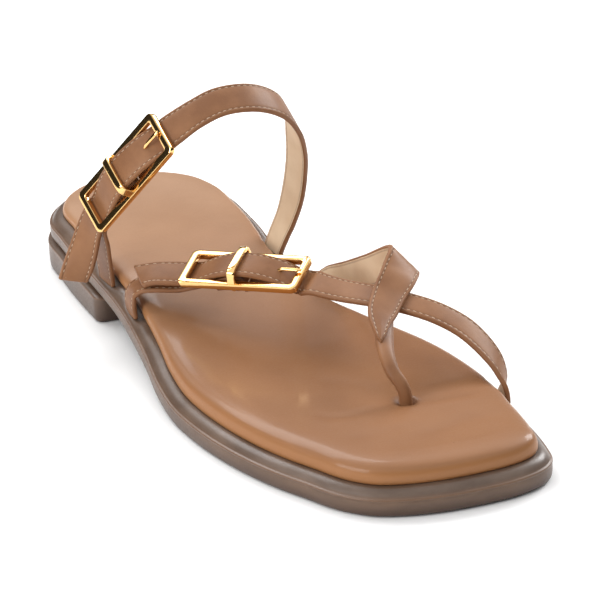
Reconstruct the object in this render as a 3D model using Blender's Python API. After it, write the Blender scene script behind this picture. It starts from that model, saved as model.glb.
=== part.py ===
"""Toe-post strap sandal for the right foot, in metres, +Z up, toe towards -Y.

The pieces are laid out in shoe axes, in millimetres: lateral is positive towards the outer side of the
foot, along runs from the back of the heel to the toe, and height is measured up from the floor. The empty
shoe_axes turns them into the part's frame, whose origin lies below the middle of the shoe.
"""

import math

import bmesh
import bpy
from mathutils import Matrix, Vector

MM = 0.001

# overall place: middle of the shoe's width and length, in shoe axes
MIDDLE_LATERAL = 4.0
MIDDLE_ALONG = 128.2
GAP = 0.3                      # clearance between pieces that touch on the real shoe

# sole
HEEL_RADIUS = 32.2
HEEL_DEPTH = 29.5              # from the back of the heel to its widest place
HEEL_CENTRE = 0.9              # lateral place of the heel's round
OUTLINE_STEPS = 46             # points down each side of an outline
END_DENSITY = 2.2              # how much closer the points lie round the heel and the toe
BAND_HEIGHT = 5.9              # side of the sole, from its underside up to the ridge
WELT_RISE = 2.8                # from the ridge up to the edge of the footbed
WELT_WIDTH = 4.6               # from the ridge in to the edge of the footbed
GROOVE_DEPTH = 1.9             # undercut of the band above the heel block
GROOVE_START = 70.0            # where the undercut starts to fade, along the shoe
GROOVE_END = 104.0
HEEL_PROUD = 0.9               # how far the heel block stands outside the ridge
HEEL_TAPER = 0.4
HEEL_EDGE = 0.8
BREAST_LATERAL = 74.0          # front face of the heel block at its outer and its inner side
BREAST_MEDIAL = 81.0
BREAST_BEVEL = 3.0

# footbed
FOOTBED_LIFT = 0.35            # clearance under the footbed
FOOTBED_INSET = 0.15           # clearance between the footbed's edge and the welt
SPINE_HEEL = 33.0              # middle line of the shoe that the outlines shrink towards
SPINE_TOE = 214.0
POST_HOLE_RADIUS = 2.65

# straps
STRAP_WIDTH = 10.8             # in the vamp buckle
INSTEP_WIDTH = 11.2            # in the instep buckle
STRAP_THICKNESS = 1.8
ANCHOR_THICKNESS = 1.6
EDGE_CHAMFER = 0.45
TAB_HEIGHT = 1.55              # middle of a strap's sewn-in end above the top of the sole
POCKET_CLEARANCE = 0.4
POST_RADIUS = 2.15

# buckles, in their own axes: x towards the strap's tail, y across the strap, z out of the face
BUCKLE_LENGTH = 42.0
BUCKLE_WIDTH = 17.2
BAR_WIDTH = 2.6
BAR_THICKNESS = 2.2
BAR_CHAMFER = 0.35
BUCKLE_CORNER = 2.2            # corner radius along the middle of the bar
CORNER_STEPS = 4
BRIDGE_X = 1.5                 # keeper bridge and centre bar, from the middle of the frame
BRIDGE_WIDTH = 3.0
BRIDGE_THICKNESS = 1.3
PIVOT_RADIUS = 1.1
PIVOT_Z = -2.4
PRONG_RADIUS = 0.62
EYE_RADIUS = 1.95
SLOT_HALF_WIDTH = 1.05
HOLE_RADIUS = 1.05

# height of the sole's underside above the floor: (along, height)
UNDERSIDE = (
    (0.0, 10.1), (30.0, 10.0), (60.0, 10.0), (80.0, 9.2), (99.0, 7.2), (115.0, 5.1),
    (130.0, 2.9), (143.0, 1.2), (155.0, 0.15), (165.0, 0.0), (200.0, 0.0), (238.0, 0.0), (258.0, 0.5),
)

# sides of the sole at its ridge: (along, lateral side, medial side)
RIDGE = (
    (33.0, 33.6, -32.0), (46.0, 35.6, -31.0), (60.0, 37.2, -29.2), (76.0, 38.7, -26.2), (92.0, 40.0, -23.6),
    (107.0, 42.4, -22.7), (123.0, 45.6, -25.2), (138.0, 49.2, -31.0), (154.0, 51.7, -37.2),
    (170.0, 52.2, -40.8), (185.0, 51.1, -42.3), (200.0, 48.5, -42.5), (213.0, 44.9, -41.6),
)

# toe of the ridge outline, from the last station round each corner to the tip: (lateral, along)
TOE_LATERAL = ((40.3, 225.0), (37.1, 233.5), (33.1, 240.4), (27.5, 246.6), (18.9, 251.4), (8.1, 254.9))
TOE_MEDIAL = ((-39.9, 221.5), (-38.2, 232.3), (-36.1, 241.8), (-33.0, 250.0), (-26.6, 255.0), (-16.4, 257.2))
TOE_TIP = (-4.0, 256.8)

# section of the sole's side: (inset from the ridge, part of the band's height, rise above the ridge)
SOLE_SECTION = (
    (0.9, 0.0, 0.0), (0.15, 0.14, 0.0), (0.0, 0.5, 0.0), (0.0, 0.93, 0.0), (0.45, 1.0, 0.1),
    (1.3, 1.0, 1.2), (2.4, 1.0, 2.15), (3.7, 1.0, 2.65), (WELT_WIDTH, 1.0, WELT_RISE),
)

# thickness of the footbed, thinner at the heel: (along, thickness)
FOOTBED_THICKNESS = ((0.0, 3.6), (60.0, 3.8), (110.0, 4.8), (160.0, 6.3), (200.0, 6.5), (257.0, 6.3))

# section of the footbed's padded edge: (inset from the welt's inner edge, part of the thickness)
FOOTBED_SECTION = (
    (0.9, 0.0), (0.1, 0.1), (0.0, 0.3), (0.6, 0.57), (2.0, 0.8), (4.6, 0.95), (9.0, 1.0), (15.0, 1.0),
)

# section of the heel block: (inset from its own outline, part of its height)
HEEL_SECTION = ((HEEL_TAPER + HEEL_EDGE, 0.0), (HEEL_TAPER, 0.08), (0.0, 0.94), (0.5, 1.0))

# Straps. A tab row is (lateral, along) of a strap's sewn-in end, which lies on the sole under the footbed.
# A free row is (lateral, along, height), then the direction of the strap's left-hand edge, seen along its
# run with the grain side up, and its width.
MEDIAL_TAB = ((-9.5, 114.2), (-17.2, 113.6))
MEDIAL_TAB_SIDE = (0.0, 1.0, 0.0)
MEDIAL_STRAP = (
    (-22.2, 115.2, 16.6, 0.0, 0.98, -0.2, 10.2),
    (-24.8, 116.2, 18.2, 0.03, 0.93, -0.36, 10.2),
    (-26.4, 120.6, 19.7, 0.02, 0.84, -0.54, 10.2),
    (-26.9, 130.0, 24.2, -0.06, 0.62, -0.78, 10.2),
    (-27.4, 145.0, 32.6, -0.2, 0.42, -0.88, 10.2),
    (-28.6, 159.6, 41.4, -0.49, 0.34, -0.8, 10.2),
    (-25.4, 167.9, 39.6, -0.7, 0.56, -0.42, 10.2),
    (-18.9, 174.1, 36.5, -0.73, 0.6, -0.3, 10.2),
    (-11.9, 179.9, 34.6, -0.71, 0.64, -0.28, 9.6),
    (-7.7, 184.2, 32.9, -0.7, 0.65, -0.28, 6.7),
    (-5.9, 188.4, 31.2, -0.71, 0.64, -0.31, 3.8),
)

# toe post, round in section: (lateral, along, height)
TOE_POST = (
    (-9.4, 182.6, 32.4), (-6.9, 188.2, 31.0), (-4.6, 193.8, 29.4), (-3.3, 198.2, 26.8),
    (-3.1, 201.6, 24.1), (-3.9, 204.0, 21.2), (-4.8, 205.0, 17.9), (-5.4, 205.0, 14.2),
    (-5.5, 204.8, 9.5),
)

FOREFOOT_TAB = ((-29.6, 192.8), (-36.0, 199.2))
FOREFOOT_TAB_SIDE = (0.71, 0.70, 0.0)
FOREFOOT_STRAP = (
    (-39.6, 203.2, 10.2, 0.75, 0.66, 0.04, 9.8),
    (-41.2, 204.0, 14.0, 0.72, 0.69, 0.0, 9.8),
    (-40.6, 201.0, 19.3, 0.62, 0.77, -0.13, 9.8),
    (-38.0, 195.6, 24.3, 0.59, 0.77, -0.24, 9.8),
    (-34.1, 189.7, 28.6, 0.67, 0.71, -0.22, 9.8),
    (-27.1, 182.2, 32.4, 0.74, 0.65, -0.2, 9.8),
    (-17.8, 171.3, 34.3, 0.75, 0.62, -0.23, 9.8),
    (-8.6, 158.6, 34.4, 0.73, 0.62, -0.29, 10.0),
    (-3.9, 150.9, 34.7, 0.72, 0.63, -0.28, 10.4),
)

INSTEP_TAB = ((-8.5, 82.0), (-18.0, 82.2))
INSTEP_TAB_SIDE = (0.0, 1.0, 0.0)
INSTEP_STRAP = (
    (-22.3, 82.2, 19.4, 0.04, 1.0, -0.07, 11.5),
    (-24.8, 82.7, 22.6, 0.02, 0.99, -0.1, 11.5),
    (-27.2, 84.4, 29.0, 0.0, 0.98, -0.17, 11.5),
    (-28.4, 87.5, 39.1, -0.1, 0.96, -0.25, 11.5),
    (-28.1, 91.0, 49.8, -0.12, 0.95, -0.28, 11.5),
    (-26.0, 95.4, 59.9, -0.12, 0.94, -0.31, 11.5),
    (-22.2, 100.4, 69.8, 0.02, 0.92, -0.38, 11.5),
    (-15.4, 104.6, 78.6, 0.12, 0.88, -0.46, 11.5),
    (-5.3, 106.2, 83.9, 0.12, 0.85, -0.5, 11.5),
    (6.1, 105.6, 84.8, 0.06, 0.87, -0.48, 11.5),
    (15.6, 104.9, 82.0, 0.04, 0.87, -0.49, 11.2),
)

# the two squared tails beyond the buckles
FOREFOOT_TAIL = (
    (32.4, 107.4, 31.2, 0.62, 0.74, -0.27, 10.8),
    (37.0, 103.4, 29.6, 0.5, 0.82, -0.28, 10.8),
)
INSTEP_TAIL = (
    (44.5, 81.9, 39.4, -0.2, 0.9, -0.38, 11.2),
    (46.6, 80.2, 30.4, -0.44, 0.88, -0.2, 11.0),
    (49.0, 78.6, 21.8, -0.72, 0.64, -0.18, 11.0),
)

VAMP_ANCHOR_TAB = ((28.0, 110.4), (34.2, 103.1))
VAMP_ANCHOR_TAB_SIDE = (-0.76, -0.65, 0.0)
VAMP_ANCHOR = (
    (37.0, 99.9, 17.5, -0.76, -0.65, 0.07, 10.6),
    (38.2, 98.6, 20.3, -0.76, -0.65, 0.07, 10.6),
    (37.2, 99.6, 23.8, -0.76, -0.65, 0.08, 10.6),
    (34.0, 103.6, 26.0, -0.75, -0.65, 0.1, 10.6),
    (30.4, 108.3, 27.2, -0.73, -0.65, 0.2, 10.6),
)

INSTEP_ANCHOR_TAB = ((22.4, 78.3), (31.4, 78.3))
INSTEP_ANCHOR_TAB_SIDE = (0.0, -1.0, 0.0)
INSTEP_ANCHOR = (
    (35.1, 78.3, 20.0, 0.0, -1.0, 0.08, 11.0),
    (37.5, 78.6, 22.6, 0.0, -1.0, 0.09, 11.0),
    (38.8, 79.6, 28.9, 0.0, -0.98, 0.14, 11.0),
    (40.0, 81.0, 35.5, 0.02, -0.93, 0.3, 11.0),
)

# strap through a buckle, in the buckle's axes: (x, z)
STRAP_IN_BUCKLE = (
    (-21.5, -4.3), (-18.0, -3.5), (-14.5, -1.6), (-11.3, -0.1), (-7.5, 1.0), (-3.0, 1.7),
    (1.5, 1.8), (5.0, 1.4), (9.0, 0.3), (13.0, -1.4), (17.0, -3.15), (21.0, -3.6),
)

# anchor strap into a buckle, round the centre bar and back under itself: (x, z)
ANCHOR_TO_PIVOT = ((23.5, -6.9), (18.5, -5.6), (13.0, -4.0), (8.0, -2.1), (4.4, -0.75))
ANCHOR_FOLD_BACK = ((5.5, -4.5), (9.5, -5.0), (14.0, -6.6))
LOOP_STEPS = 6

# prong from its eye, up through the strap's hole and onto the end bar: (x, z)
PRONG_ROUTE = (
    (-0.45, -2.4), (-3.5, -2.35), (-8.3, -1.9), (-11.2, -0.4), (-13.6, 0.75), (-16.5, 1.0), (-20.4, 0.97),
)

# keeper bridge, over the strap from one long bar to the other: (y, z)
BRIDGE_ROUTE = ((-7.7, -0.9), (-6.8, 2.9), (-5.9, 3.85), (5.9, 3.85), (6.8, 2.9), (7.7, -0.9))

# buckles in shoe axes: place of the middle of the face, direction of x, direction of z
VAMP_BUCKLE = ((12.2, 130.2, 36.0), (0.64, -0.764, -0.083), (0.265, 0.118, 0.957))
INSTEP_BUCKLE = ((37.3, 95.3, 62.7), (0.446, -0.453, -0.772), (0.895, 0.255, 0.367))

# materials: colour, roughness, metallic
STRAP_LEATHER = ("strap_leather", (0.36, 0.20, 0.12), 0.45, 0.0)
FOOTBED_LEATHER = ("footbed_leather", (0.45, 0.24, 0.13), 0.40, 0.0)
SOLE_RUBBER = ("sole_rubber", (0.13, 0.08, 0.055), 0.42, 0.0)
HEEL_RUBBER = ("heel_rubber", (0.14, 0.09, 0.06), 0.50, 0.0)
GOLD_METAL = ("gold_metal", (0.83, 0.60, 0.27), 0.12, 1.0)


# ---- scene set-up

def clear_scene():
    for old in list(bpy.data.objects):
        bpy.data.objects.remove(old, do_unlink=True)


def new_collection(name):
    group = bpy.data.collections.new(name)
    bpy.context.scene.collection.children.link(group)
    return group


def material(spec):
    name, colour, roughness, metallic = spec
    found = bpy.data.materials.get(name)
    if found:
        return found
    made = bpy.data.materials.new(name)
    made.use_nodes = True
    shader = made.node_tree.nodes["Principled BSDF"]
    shader.inputs["Base Color"].default_value = (*colour, 1.0)
    shader.inputs["Roughness"].default_value = roughness
    shader.inputs["Metallic"].default_value = metallic
    made.diffuse_color = (*colour, 1.0)
    return made


def add_empty(name, group, parent=None, matrix=None):
    empty = bpy.data.objects.new(name, None)
    group.objects.link(empty)
    empty.parent = parent
    if matrix:
        empty.matrix_local = matrix
    return empty


def add_mesh(name, bm, group, parent, spec=None):
    """Turn a bmesh in millimetres into an object in metres."""
    bmesh.ops.recalc_face_normals(bm, faces=bm.faces[:])
    bmesh.ops.scale(bm, vec=(MM, MM, MM), verts=bm.verts[:])
    mesh = bpy.data.meshes.new(name)
    bm.to_mesh(mesh)
    bm.free()
    mesh.shade_smooth()
    mesh.set_sharp_from_angle(angle=math.radians(40.0))
    made = bpy.data.objects.new(name, mesh)
    group.objects.link(made)
    made.parent = parent
    if spec:
        mesh.materials.append(material(spec))
    return made


def as_cutter(cutter):
    cutter.hide_render = True
    cutter.display_type = "WIRE"
    return cutter


def boolean(target, other, operation):
    step = target.modifiers.new(f"{operation.lower()}_{other.name}", "BOOLEAN")
    step.operation = operation
    step.solver = "EXACT"
    step.object = other


# ---- curves and sections

def smooth_points(points, per_span):
    """Catmull-Rom curve through rows of numbers, with per_span pieces between two rows."""
    count = len(points)
    result = []
    for i in range(count - 1):
        before = points[max(i - 1, 0)]
        start = points[i]
        end = points[i + 1]
        after = points[min(i + 2, count - 1)]
        for k in range(per_span):
            t = k / per_span
            row = []
            for a, b, c, d in zip(before, start, end, after):
                row.append(0.5 * (2 * b + (c - a) * t + (2 * a - 5 * b + 4 * c - d) * t ** 2
                                  + (3 * b - a - 3 * c + d) * t ** 3))
            result.append(tuple(row))
    result.append(tuple(points[-1]))
    return result


def table_at(table, x):
    """Value of a smooth curve through (x, y) rows, flat outside them."""
    if x <= table[0][0]:
        return table[0][1]
    for i in range(len(table) - 1):
        x0, y0 = table[i]
        x1, y1 = table[i + 1]
        if x <= x1:
            before = table[max(i - 1, 0)]
            after = table[min(i + 2, len(table) - 1)]
            slope0 = (y1 - before[1]) / (x1 - before[0])
            slope1 = (after[1] - y0) / (after[0] - x0)
            if y0 == y1:
                slope0 = slope1 = 0.0
            t = (x - x0) / (x1 - x0)
            h = x1 - x0
            return ((2 * t ** 3 - 3 * t ** 2 + 1) * y0 + (t ** 3 - 2 * t ** 2 + t) * h * slope0
                    + (3 * t ** 2 - 2 * t ** 3) * y1 + (t ** 3 - t ** 2) * h * slope1)
    return table[-1][1]


def underside(along):
    return max(table_at(UNDERSIDE, along), 0.0)


def welt_top(along):
    return underside(along) + BAND_HEIGHT + WELT_RISE


def footbed_at(along):
    return table_at(FOOTBED_THICKNESS, along)


def groove(along):
    """Undercut of the band, deepest round the heel and gone at the waist."""
    t = (along - GROOVE_START) / (GROOVE_END - GROOVE_START)
    t = min(max(t, 0.0), 1.0)
    return GROOVE_DEPTH * (1.0 - t * t * (3.0 - 2.0 * t))


def spaced(points, steps):
    """Points along a polyline, closer together round the heel and the toe."""
    travel = [0.0]
    for a, b in zip(points, points[1:]):
        step = math.dist(a, b)
        if (a[1] + b[1]) / 2 < SPINE_HEEL or (a[1] + b[1]) / 2 > SPINE_TOE:
            step *= END_DENSITY
        travel.append(travel[-1] + step)
    result = []
    i = 0
    for k in range(steps + 1):
        goal = travel[-1] * k / steps
        while i < len(points) - 2 and travel[i + 1] < goal:
            i += 1
        t = (goal - travel[i]) / (travel[i + 1] - travel[i])
        result.append(tuple(a + (b - a) * t for a, b in zip(points[i], points[i + 1])))
    return result


def side_path(side):
    """One side of the ridge outline, from the back of the heel to the tip of the toe."""
    sign = 1.0 if side == "lateral" else -1.0
    column = 1 if side == "lateral" else 2
    points = []
    for k in range(6):
        angle = math.radians(15.0 * k)
        points.append((HEEL_CENTRE + sign * HEEL_RADIUS * math.sin(angle),
                       HEEL_DEPTH * (1.0 - math.cos(angle))))
    points += [(row[column], row[0]) for row in RIDGE]
    points += TOE_LATERAL if side == "lateral" else TOE_MEDIAL
    points.append(TOE_TIP)
    return spaced(smooth_points(points, 8), OUTLINE_STEPS)


def ridge_outline():
    """Closed outline: up the lateral side to the tip and back down the medial side."""
    lateral = side_path("lateral")
    medial = side_path("medial")
    return lateral + medial[-2:0:-1]


def inset_outline(outline, insets):
    """Move each point inwards by its own distance, towards the middle line of the shoe."""
    count = len(outline)
    result = []
    for i, (lateral, along) in enumerate(outline):
        before = outline[i - 1]
        after = outline[(i + 1) % count]
        run = Vector((after[0] - before[0], after[1] - before[1])).normalized()
        inward = Vector((-run.y, run.x)) * -1.0
        opposite = outline[(count - i) % count]
        spine_along = min(max(along, SPINE_HEEL), SPINE_TOE)
        spine_lateral = (lateral + opposite[0]) / 2
        target = Vector((spine_lateral - lateral, spine_along - along)).normalized()
        if target.dot(inward) < 0.0:
            inward = -inward
        step = insets[i] / max(target.dot(inward), 0.55)
        result.append((lateral + target.x * step, along + target.y * step))
    return result


def ladder_solid(rings):
    """Loft through stacked outlines of equal length and close both ends with rungs from side to side."""
    bm = bmesh.new()
    layers = [[bm.verts.new(point) for point in ring] for ring in rings]
    count = len(rings[0])
    for lower, upper in zip(layers, layers[1:]):
        for i in range(count):
            j = (i + 1) % count
            bm.faces.new((lower[i], lower[j], upper[j], upper[i]))
    half = count // 2
    for layer in (layers[0], layers[-1]):
        bm.faces.new((layer[0], layer[1], layer[count - 1]))
        for i in range(1, half - 1):
            bm.faces.new((layer[i], layer[i + 1], layer[count - i - 1], layer[count - i]))
        bm.faces.new((layer[half - 1], layer[half], layer[half + 1]))
    return bm


def swept_solid(rows, thickness, chamfer, extra=0.0, closed=False):
    """Loft a flat section with chamfered edges along rows of (place, side direction, width)."""
    bm = bmesh.new()
    count = len(rows)
    rings = []
    for i, (place, side, width) in enumerate(rows):
        if closed:
            before = rows[i - 1][0]
            after = rows[(i + 1) % count][0]
        else:
            before = rows[max(i - 1, 0)][0]
            after = rows[min(i + 1, count - 1)][0]
        run = (after - before).normalized()
        across = (side - run * side.dot(run)).normalized()
        out = run.cross(across)
        w = width / 2 + extra
        h = thickness / 2 + extra
        c = chamfer
        section = ((w, -h + c), (w, h - c), (w - c, h), (-w + c, h), (-w, h - c), (-w, -h + c),
                   (-w + c, -h), (w - c, -h))
        rings.append([bm.verts.new(place + across * a + out * b) for a, b in section])
    sides = len(rings[0])
    pairs = list(zip(rings, rings[1:]))
    if closed:
        pairs.append((rings[-1], rings[0]))
    for first, second in pairs:
        for k in range(sides):
            m = (k + 1) % sides
            bm.faces.new((first[k], first[m], second[m], second[k]))
    if not closed:
        bm.faces.new(rings[0])
        bm.faces.new(rings[-1])
    return bm


def tube_object(name, points, radius, group, parent, spec=None):
    """Round bar through points in millimetres: a bevelled curve made into a closed mesh."""
    curve = bpy.data.curves.new(name, "CURVE")
    curve.dimensions = "3D"
    curve.bevel_depth = radius * MM
    curve.bevel_resolution = 3
    curve.use_fill_caps = True
    spline = curve.splines.new("POLY")
    spline.points.add(len(points) - 1)
    for target, point in zip(spline.points, points):
        target.co = (point[0] * MM, point[1] * MM, point[2] * MM, 1.0)
    guide = bpy.data.objects.new(name + "_guide", curve)
    group.objects.link(guide)
    guide.parent = parent
    bpy.context.view_layer.update()
    evaluated = guide.evaluated_get(bpy.context.evaluated_depsgraph_get())
    mesh = bpy.data.meshes.new_from_object(evaluated)
    bpy.data.objects.remove(guide, do_unlink=True)
    bm = bmesh.new()
    bm.from_mesh(mesh)
    bpy.data.meshes.remove(mesh)
    bmesh.ops.remove_doubles(bm, verts=bm.verts[:], dist=0.00002)
    bmesh.ops.scale(bm, vec=(1.0 / MM, 1.0 / MM, 1.0 / MM), verts=bm.verts[:])
    return add_mesh(name, bm, group, parent, spec)


# ---- sole, heel and footbed

def build_outsole(group, axes, ridge):
    rings = []
    for inset, band_part, rise in SOLE_SECTION:
        insets = []
        for lateral, along in ridge:
            undercut = groove(along) * (1.0 - band_part) if inset < WELT_WIDTH else 0.0
            insets.append(inset + undercut)
        ring = []
        for (lateral, along), source in zip(inset_outline(ridge, insets), ridge):
            ring.append((lateral, along, underside(source[1]) + band_part * BAND_HEIGHT + rise))
        rings.append(ring)
    return add_mesh("outsole", ladder_solid(rings), group, axes, SOLE_RUBBER)


def build_heel(group, axes, ridge):
    rings = []
    for inset, part in HEEL_SECTION:
        outline = inset_outline(ridge, [inset - HEEL_PROUD] * len(ridge))
        rings.append([(lateral, along, part * (underside(source[1]) - GAP))
                      for (lateral, along), source in zip(outline, ridge)])
    bm = ladder_solid(rings)
    breast = Vector((ridge_at(BREAST_LATERAL, 1), BREAST_LATERAL, 0.0))
    inner = Vector((ridge_at(BREAST_MEDIAL, 2), BREAST_MEDIAL, 0.0))
    across = (inner - breast).normalized()
    normal = across.cross(Vector((0.0, 0.0, 1.0)))
    if normal.y < 0.0:
        normal = -normal
    everything = bm.verts[:] + bm.edges[:] + bm.faces[:]
    cut = bmesh.ops.bisect_plane(bm, geom=everything, plane_co=breast, plane_no=normal, clear_outer=True)
    rim = [item for item in cut["geom_cut"] if isinstance(item, bmesh.types.BMEdge)]
    bmesh.ops.contextual_create(bm, geom=rim)
    upright = []
    for edge in bm.edges:
        low, high = edge.verts
        on_plane = all(abs((v.co - breast).dot(normal)) < 0.01 for v in edge.verts)
        if on_plane and abs(low.co.z - high.co.z) > 0.3 * (low.co - high.co).length:
            upright.append(edge)
    bmesh.ops.bevel(bm, geom=upright, offset=BREAST_BEVEL, segments=3, profile=0.5, affect="EDGES")
    return add_mesh("heel", bm, group, axes, HEEL_RUBBER)


def ridge_at(along, column):
    return table_at([(row[0], row[column]) for row in RIDGE], along)


def build_footbed(group, cutters, axes, ridge):
    rings = []
    for inset, part in FOOTBED_SECTION:
        outline = inset_outline(ridge, [WELT_WIDTH + FOOTBED_INSET + inset] * len(ridge))
        rings.append([(lateral, along, welt_top(source[1]) + FOOTBED_LIFT + part * footbed_at(source[1]))
                      for (lateral, along), source in zip(outline, ridge)])
    footbed = add_mesh("footbed", ladder_solid(rings), group, axes, FOOTBED_LEATHER)
    pockets = (
        ("medial_pocket", strap_rows(MEDIAL_TAB, MEDIAL_TAB_SIDE, MEDIAL_STRAP[:3], 3), STRAP_THICKNESS),
        ("forefoot_pocket", strap_rows(FOREFOOT_TAB, FOREFOOT_TAB_SIDE, FOREFOOT_STRAP[:3], 3),
         STRAP_THICKNESS),
        ("instep_pocket", strap_rows(INSTEP_TAB, INSTEP_TAB_SIDE, INSTEP_STRAP[:3], 3), STRAP_THICKNESS),
        ("vamp_anchor_pocket", strap_rows(VAMP_ANCHOR_TAB, VAMP_ANCHOR_TAB_SIDE, VAMP_ANCHOR[:2], 3),
         ANCHOR_THICKNESS),
        ("instep_anchor_pocket", strap_rows(INSTEP_ANCHOR_TAB, INSTEP_ANCHOR_TAB_SIDE, INSTEP_ANCHOR[:3], 3),
         ANCHOR_THICKNESS),
    )
    for name, rows, thickness in pockets:
        solid = swept_solid(rows, thickness + 2 * GAP, EDGE_CHAMFER, extra=POCKET_CLEARANCE)
        boolean(footbed, as_cutter(add_mesh(name, solid, cutters, axes)), "DIFFERENCE")
    foot = TOE_POST[-1]
    hole = [(foot[0], foot[1], 0.0)] + smooth_points(TOE_POST, 2)[:-9:-1]
    boolean(footbed, as_cutter(tube_object("post_hole", hole, POST_HOLE_RADIUS, cutters, axes)), "DIFFERENCE")
    return footbed


# ---- straps

def strap_rows(tab, tab_side, free, per_span):
    """Smooth rows of (place, side, width) through a sewn-in tab and the free rows."""
    width = free[0][6]
    rows = []
    for lateral, along in tab:
        slope = welt_top(along + 0.5) - welt_top(along - 0.5)
        rows.append((lateral, along, welt_top(along) + TAB_HEIGHT, tab_side[0], tab_side[1],
                     tab_side[1] * slope, width))
    return as_rows(rows + list(free), per_span)


def as_rows(table, per_span):
    return [(Vector(row[0:3]), Vector(row[3:6]), row[6]) for row in smooth_points(table, per_span)]


def buckle_matrix(spec):
    """Axes and place of a buckle, in shoe axes and millimetres."""
    place, along_x, along_z = spec
    x = Vector(along_x).normalized()
    z = Vector(along_z)
    z = (z - x * z.dot(x)).normalized()
    y = z.cross(x)
    return Matrix.Translation(Vector(place)) @ Matrix((x, y, z)).transposed().to_4x4()


def buckle_rows(spec, route, width, direction=1.0):
    """Rows in shoe axes for (x, z) points of a buckle; direction -1 runs towards the strap's root."""
    turn = buckle_matrix(spec)
    side = turn.to_3x3() @ Vector((0.0, direction, 0.0))
    return [(*(turn @ Vector((x, 0.0, z))), *side, width) for x, z in route]


def build_cross_straps(group, cutters, axes):
    forefoot = strap_rows(
        FOREFOOT_TAB, FOREFOOT_TAB_SIDE,
        list(FOREFOOT_STRAP) + buckle_rows(VAMP_BUCKLE, STRAP_IN_BUCKLE, STRAP_WIDTH) + list(FOREFOOT_TAIL), 2)
    straps = add_mesh("cross_straps", swept_solid(forefoot, STRAP_THICKNESS, EDGE_CHAMFER), group, axes,
                      STRAP_LEATHER)
    medial = strap_rows(MEDIAL_TAB, MEDIAL_TAB_SIDE, MEDIAL_STRAP, 3)
    upper = add_mesh("medial_strap", swept_solid(medial, STRAP_THICKNESS, EDGE_CHAMFER), cutters, axes)
    boolean(straps, as_cutter(upper), "UNION")
    post = tube_object("toe_post", smooth_points(TOE_POST, 2), POST_RADIUS, cutters, axes)
    boolean(straps, as_cutter(post), "UNION")
    boolean(straps, prong_hole("vamp_hole", VAMP_BUCKLE, cutters, axes), "DIFFERENCE")
    return straps


def build_instep_strap(group, cutters, axes):
    rows = strap_rows(
        INSTEP_TAB, INSTEP_TAB_SIDE,
        list(INSTEP_STRAP) + buckle_rows(INSTEP_BUCKLE, STRAP_IN_BUCKLE, INSTEP_WIDTH) + list(INSTEP_TAIL), 2)
    strap = add_mesh("instep_strap", swept_solid(rows, STRAP_THICKNESS, EDGE_CHAMFER), group, axes,
                     STRAP_LEATHER)
    boolean(strap, prong_hole("instep_hole", INSTEP_BUCKLE, cutters, axes), "DIFFERENCE")
    return strap


def loop_route():
    """Half turn round the centre bar, over the top and back underneath: (x, z)."""
    radius = PIVOT_RADIUS + GAP + ANCHOR_THICKNESS / 2
    route = []
    for k in range(LOOP_STEPS + 1):
        angle = math.radians(90.0 + 180.0 * k / LOOP_STEPS)
        route.append((BRIDGE_X + radius * math.cos(angle), PIVOT_Z + radius * math.sin(angle)))
    return route


def build_anchor(name, tab, tab_side, free, spec, group, cutters, axes):
    """Short strap that wraps a buckle's centre bar, slotted where the prong's eye sits."""
    route = list(ANCHOR_TO_PIVOT) + loop_route() + list(ANCHOR_FOLD_BACK)
    table = list(free) + buckle_rows(spec, route, free[0][6], -1.0)
    rows = strap_rows(tab, tab_side, table, 2)
    anchor = add_mesh(name, swept_solid(rows, ANCHOR_THICKNESS, EDGE_CHAMFER), group, axes, STRAP_LEATHER)
    bm = bmesh.new()
    bmesh.ops.create_cube(bm, size=1.0)
    bmesh.ops.scale(bm, vec=(7.0, 2 * SLOT_HALF_WIDTH, 7.0), verts=bm.verts[:])
    bmesh.ops.translate(bm, vec=(BRIDGE_X - 0.2, 0.0, PIVOT_Z), verts=bm.verts[:])
    bmesh.ops.transform(bm, matrix=buckle_matrix(spec), verts=bm.verts[:])
    boolean(anchor, as_cutter(add_mesh(name + "_slot", bm, cutters, axes)), "DIFFERENCE")
    return anchor


# ---- buckles

def buckle_empty(name, spec, group, axes):
    matrix = buckle_matrix(spec)
    matrix.translation = matrix.translation * MM
    return add_empty(name, group, axes, matrix)


def prong_points():
    return [(x, 0.0, z) for x, z in smooth_points(PRONG_ROUTE, 2)]


def prong_hole(name, spec, cutters, axes):
    """Hole in the strap, round the prong where it passes through."""
    matrix = buckle_matrix(spec)
    points = [matrix @ Vector(point) for point in prong_points() if -16.0 < point[0] < -7.5]
    return as_cutter(tube_object(name, points, HOLE_RADIUS, cutters, axes))


def frame_rows():
    """Closed route round the middle of the frame's bar, with round corners."""
    half_x = (BUCKLE_LENGTH - BAR_WIDTH) / 2 - BUCKLE_CORNER
    half_y = (BUCKLE_WIDTH - BAR_WIDTH) / 2 - BUCKLE_CORNER
    rows = []
    for quarter, (sx, sy) in enumerate(((1, 1), (-1, 1), (-1, -1), (1, -1))):
        for k in range(CORNER_STEPS + 1):
            angle = math.radians(90.0 * (quarter + k / CORNER_STEPS))
            out = Vector((math.cos(angle), math.sin(angle), 0.0))
            place = Vector((sx * half_x, sy * half_y, -BAR_THICKNESS / 2)) + out * BUCKLE_CORNER
            rows.append((place, out, BAR_WIDTH))
    return rows


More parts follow.
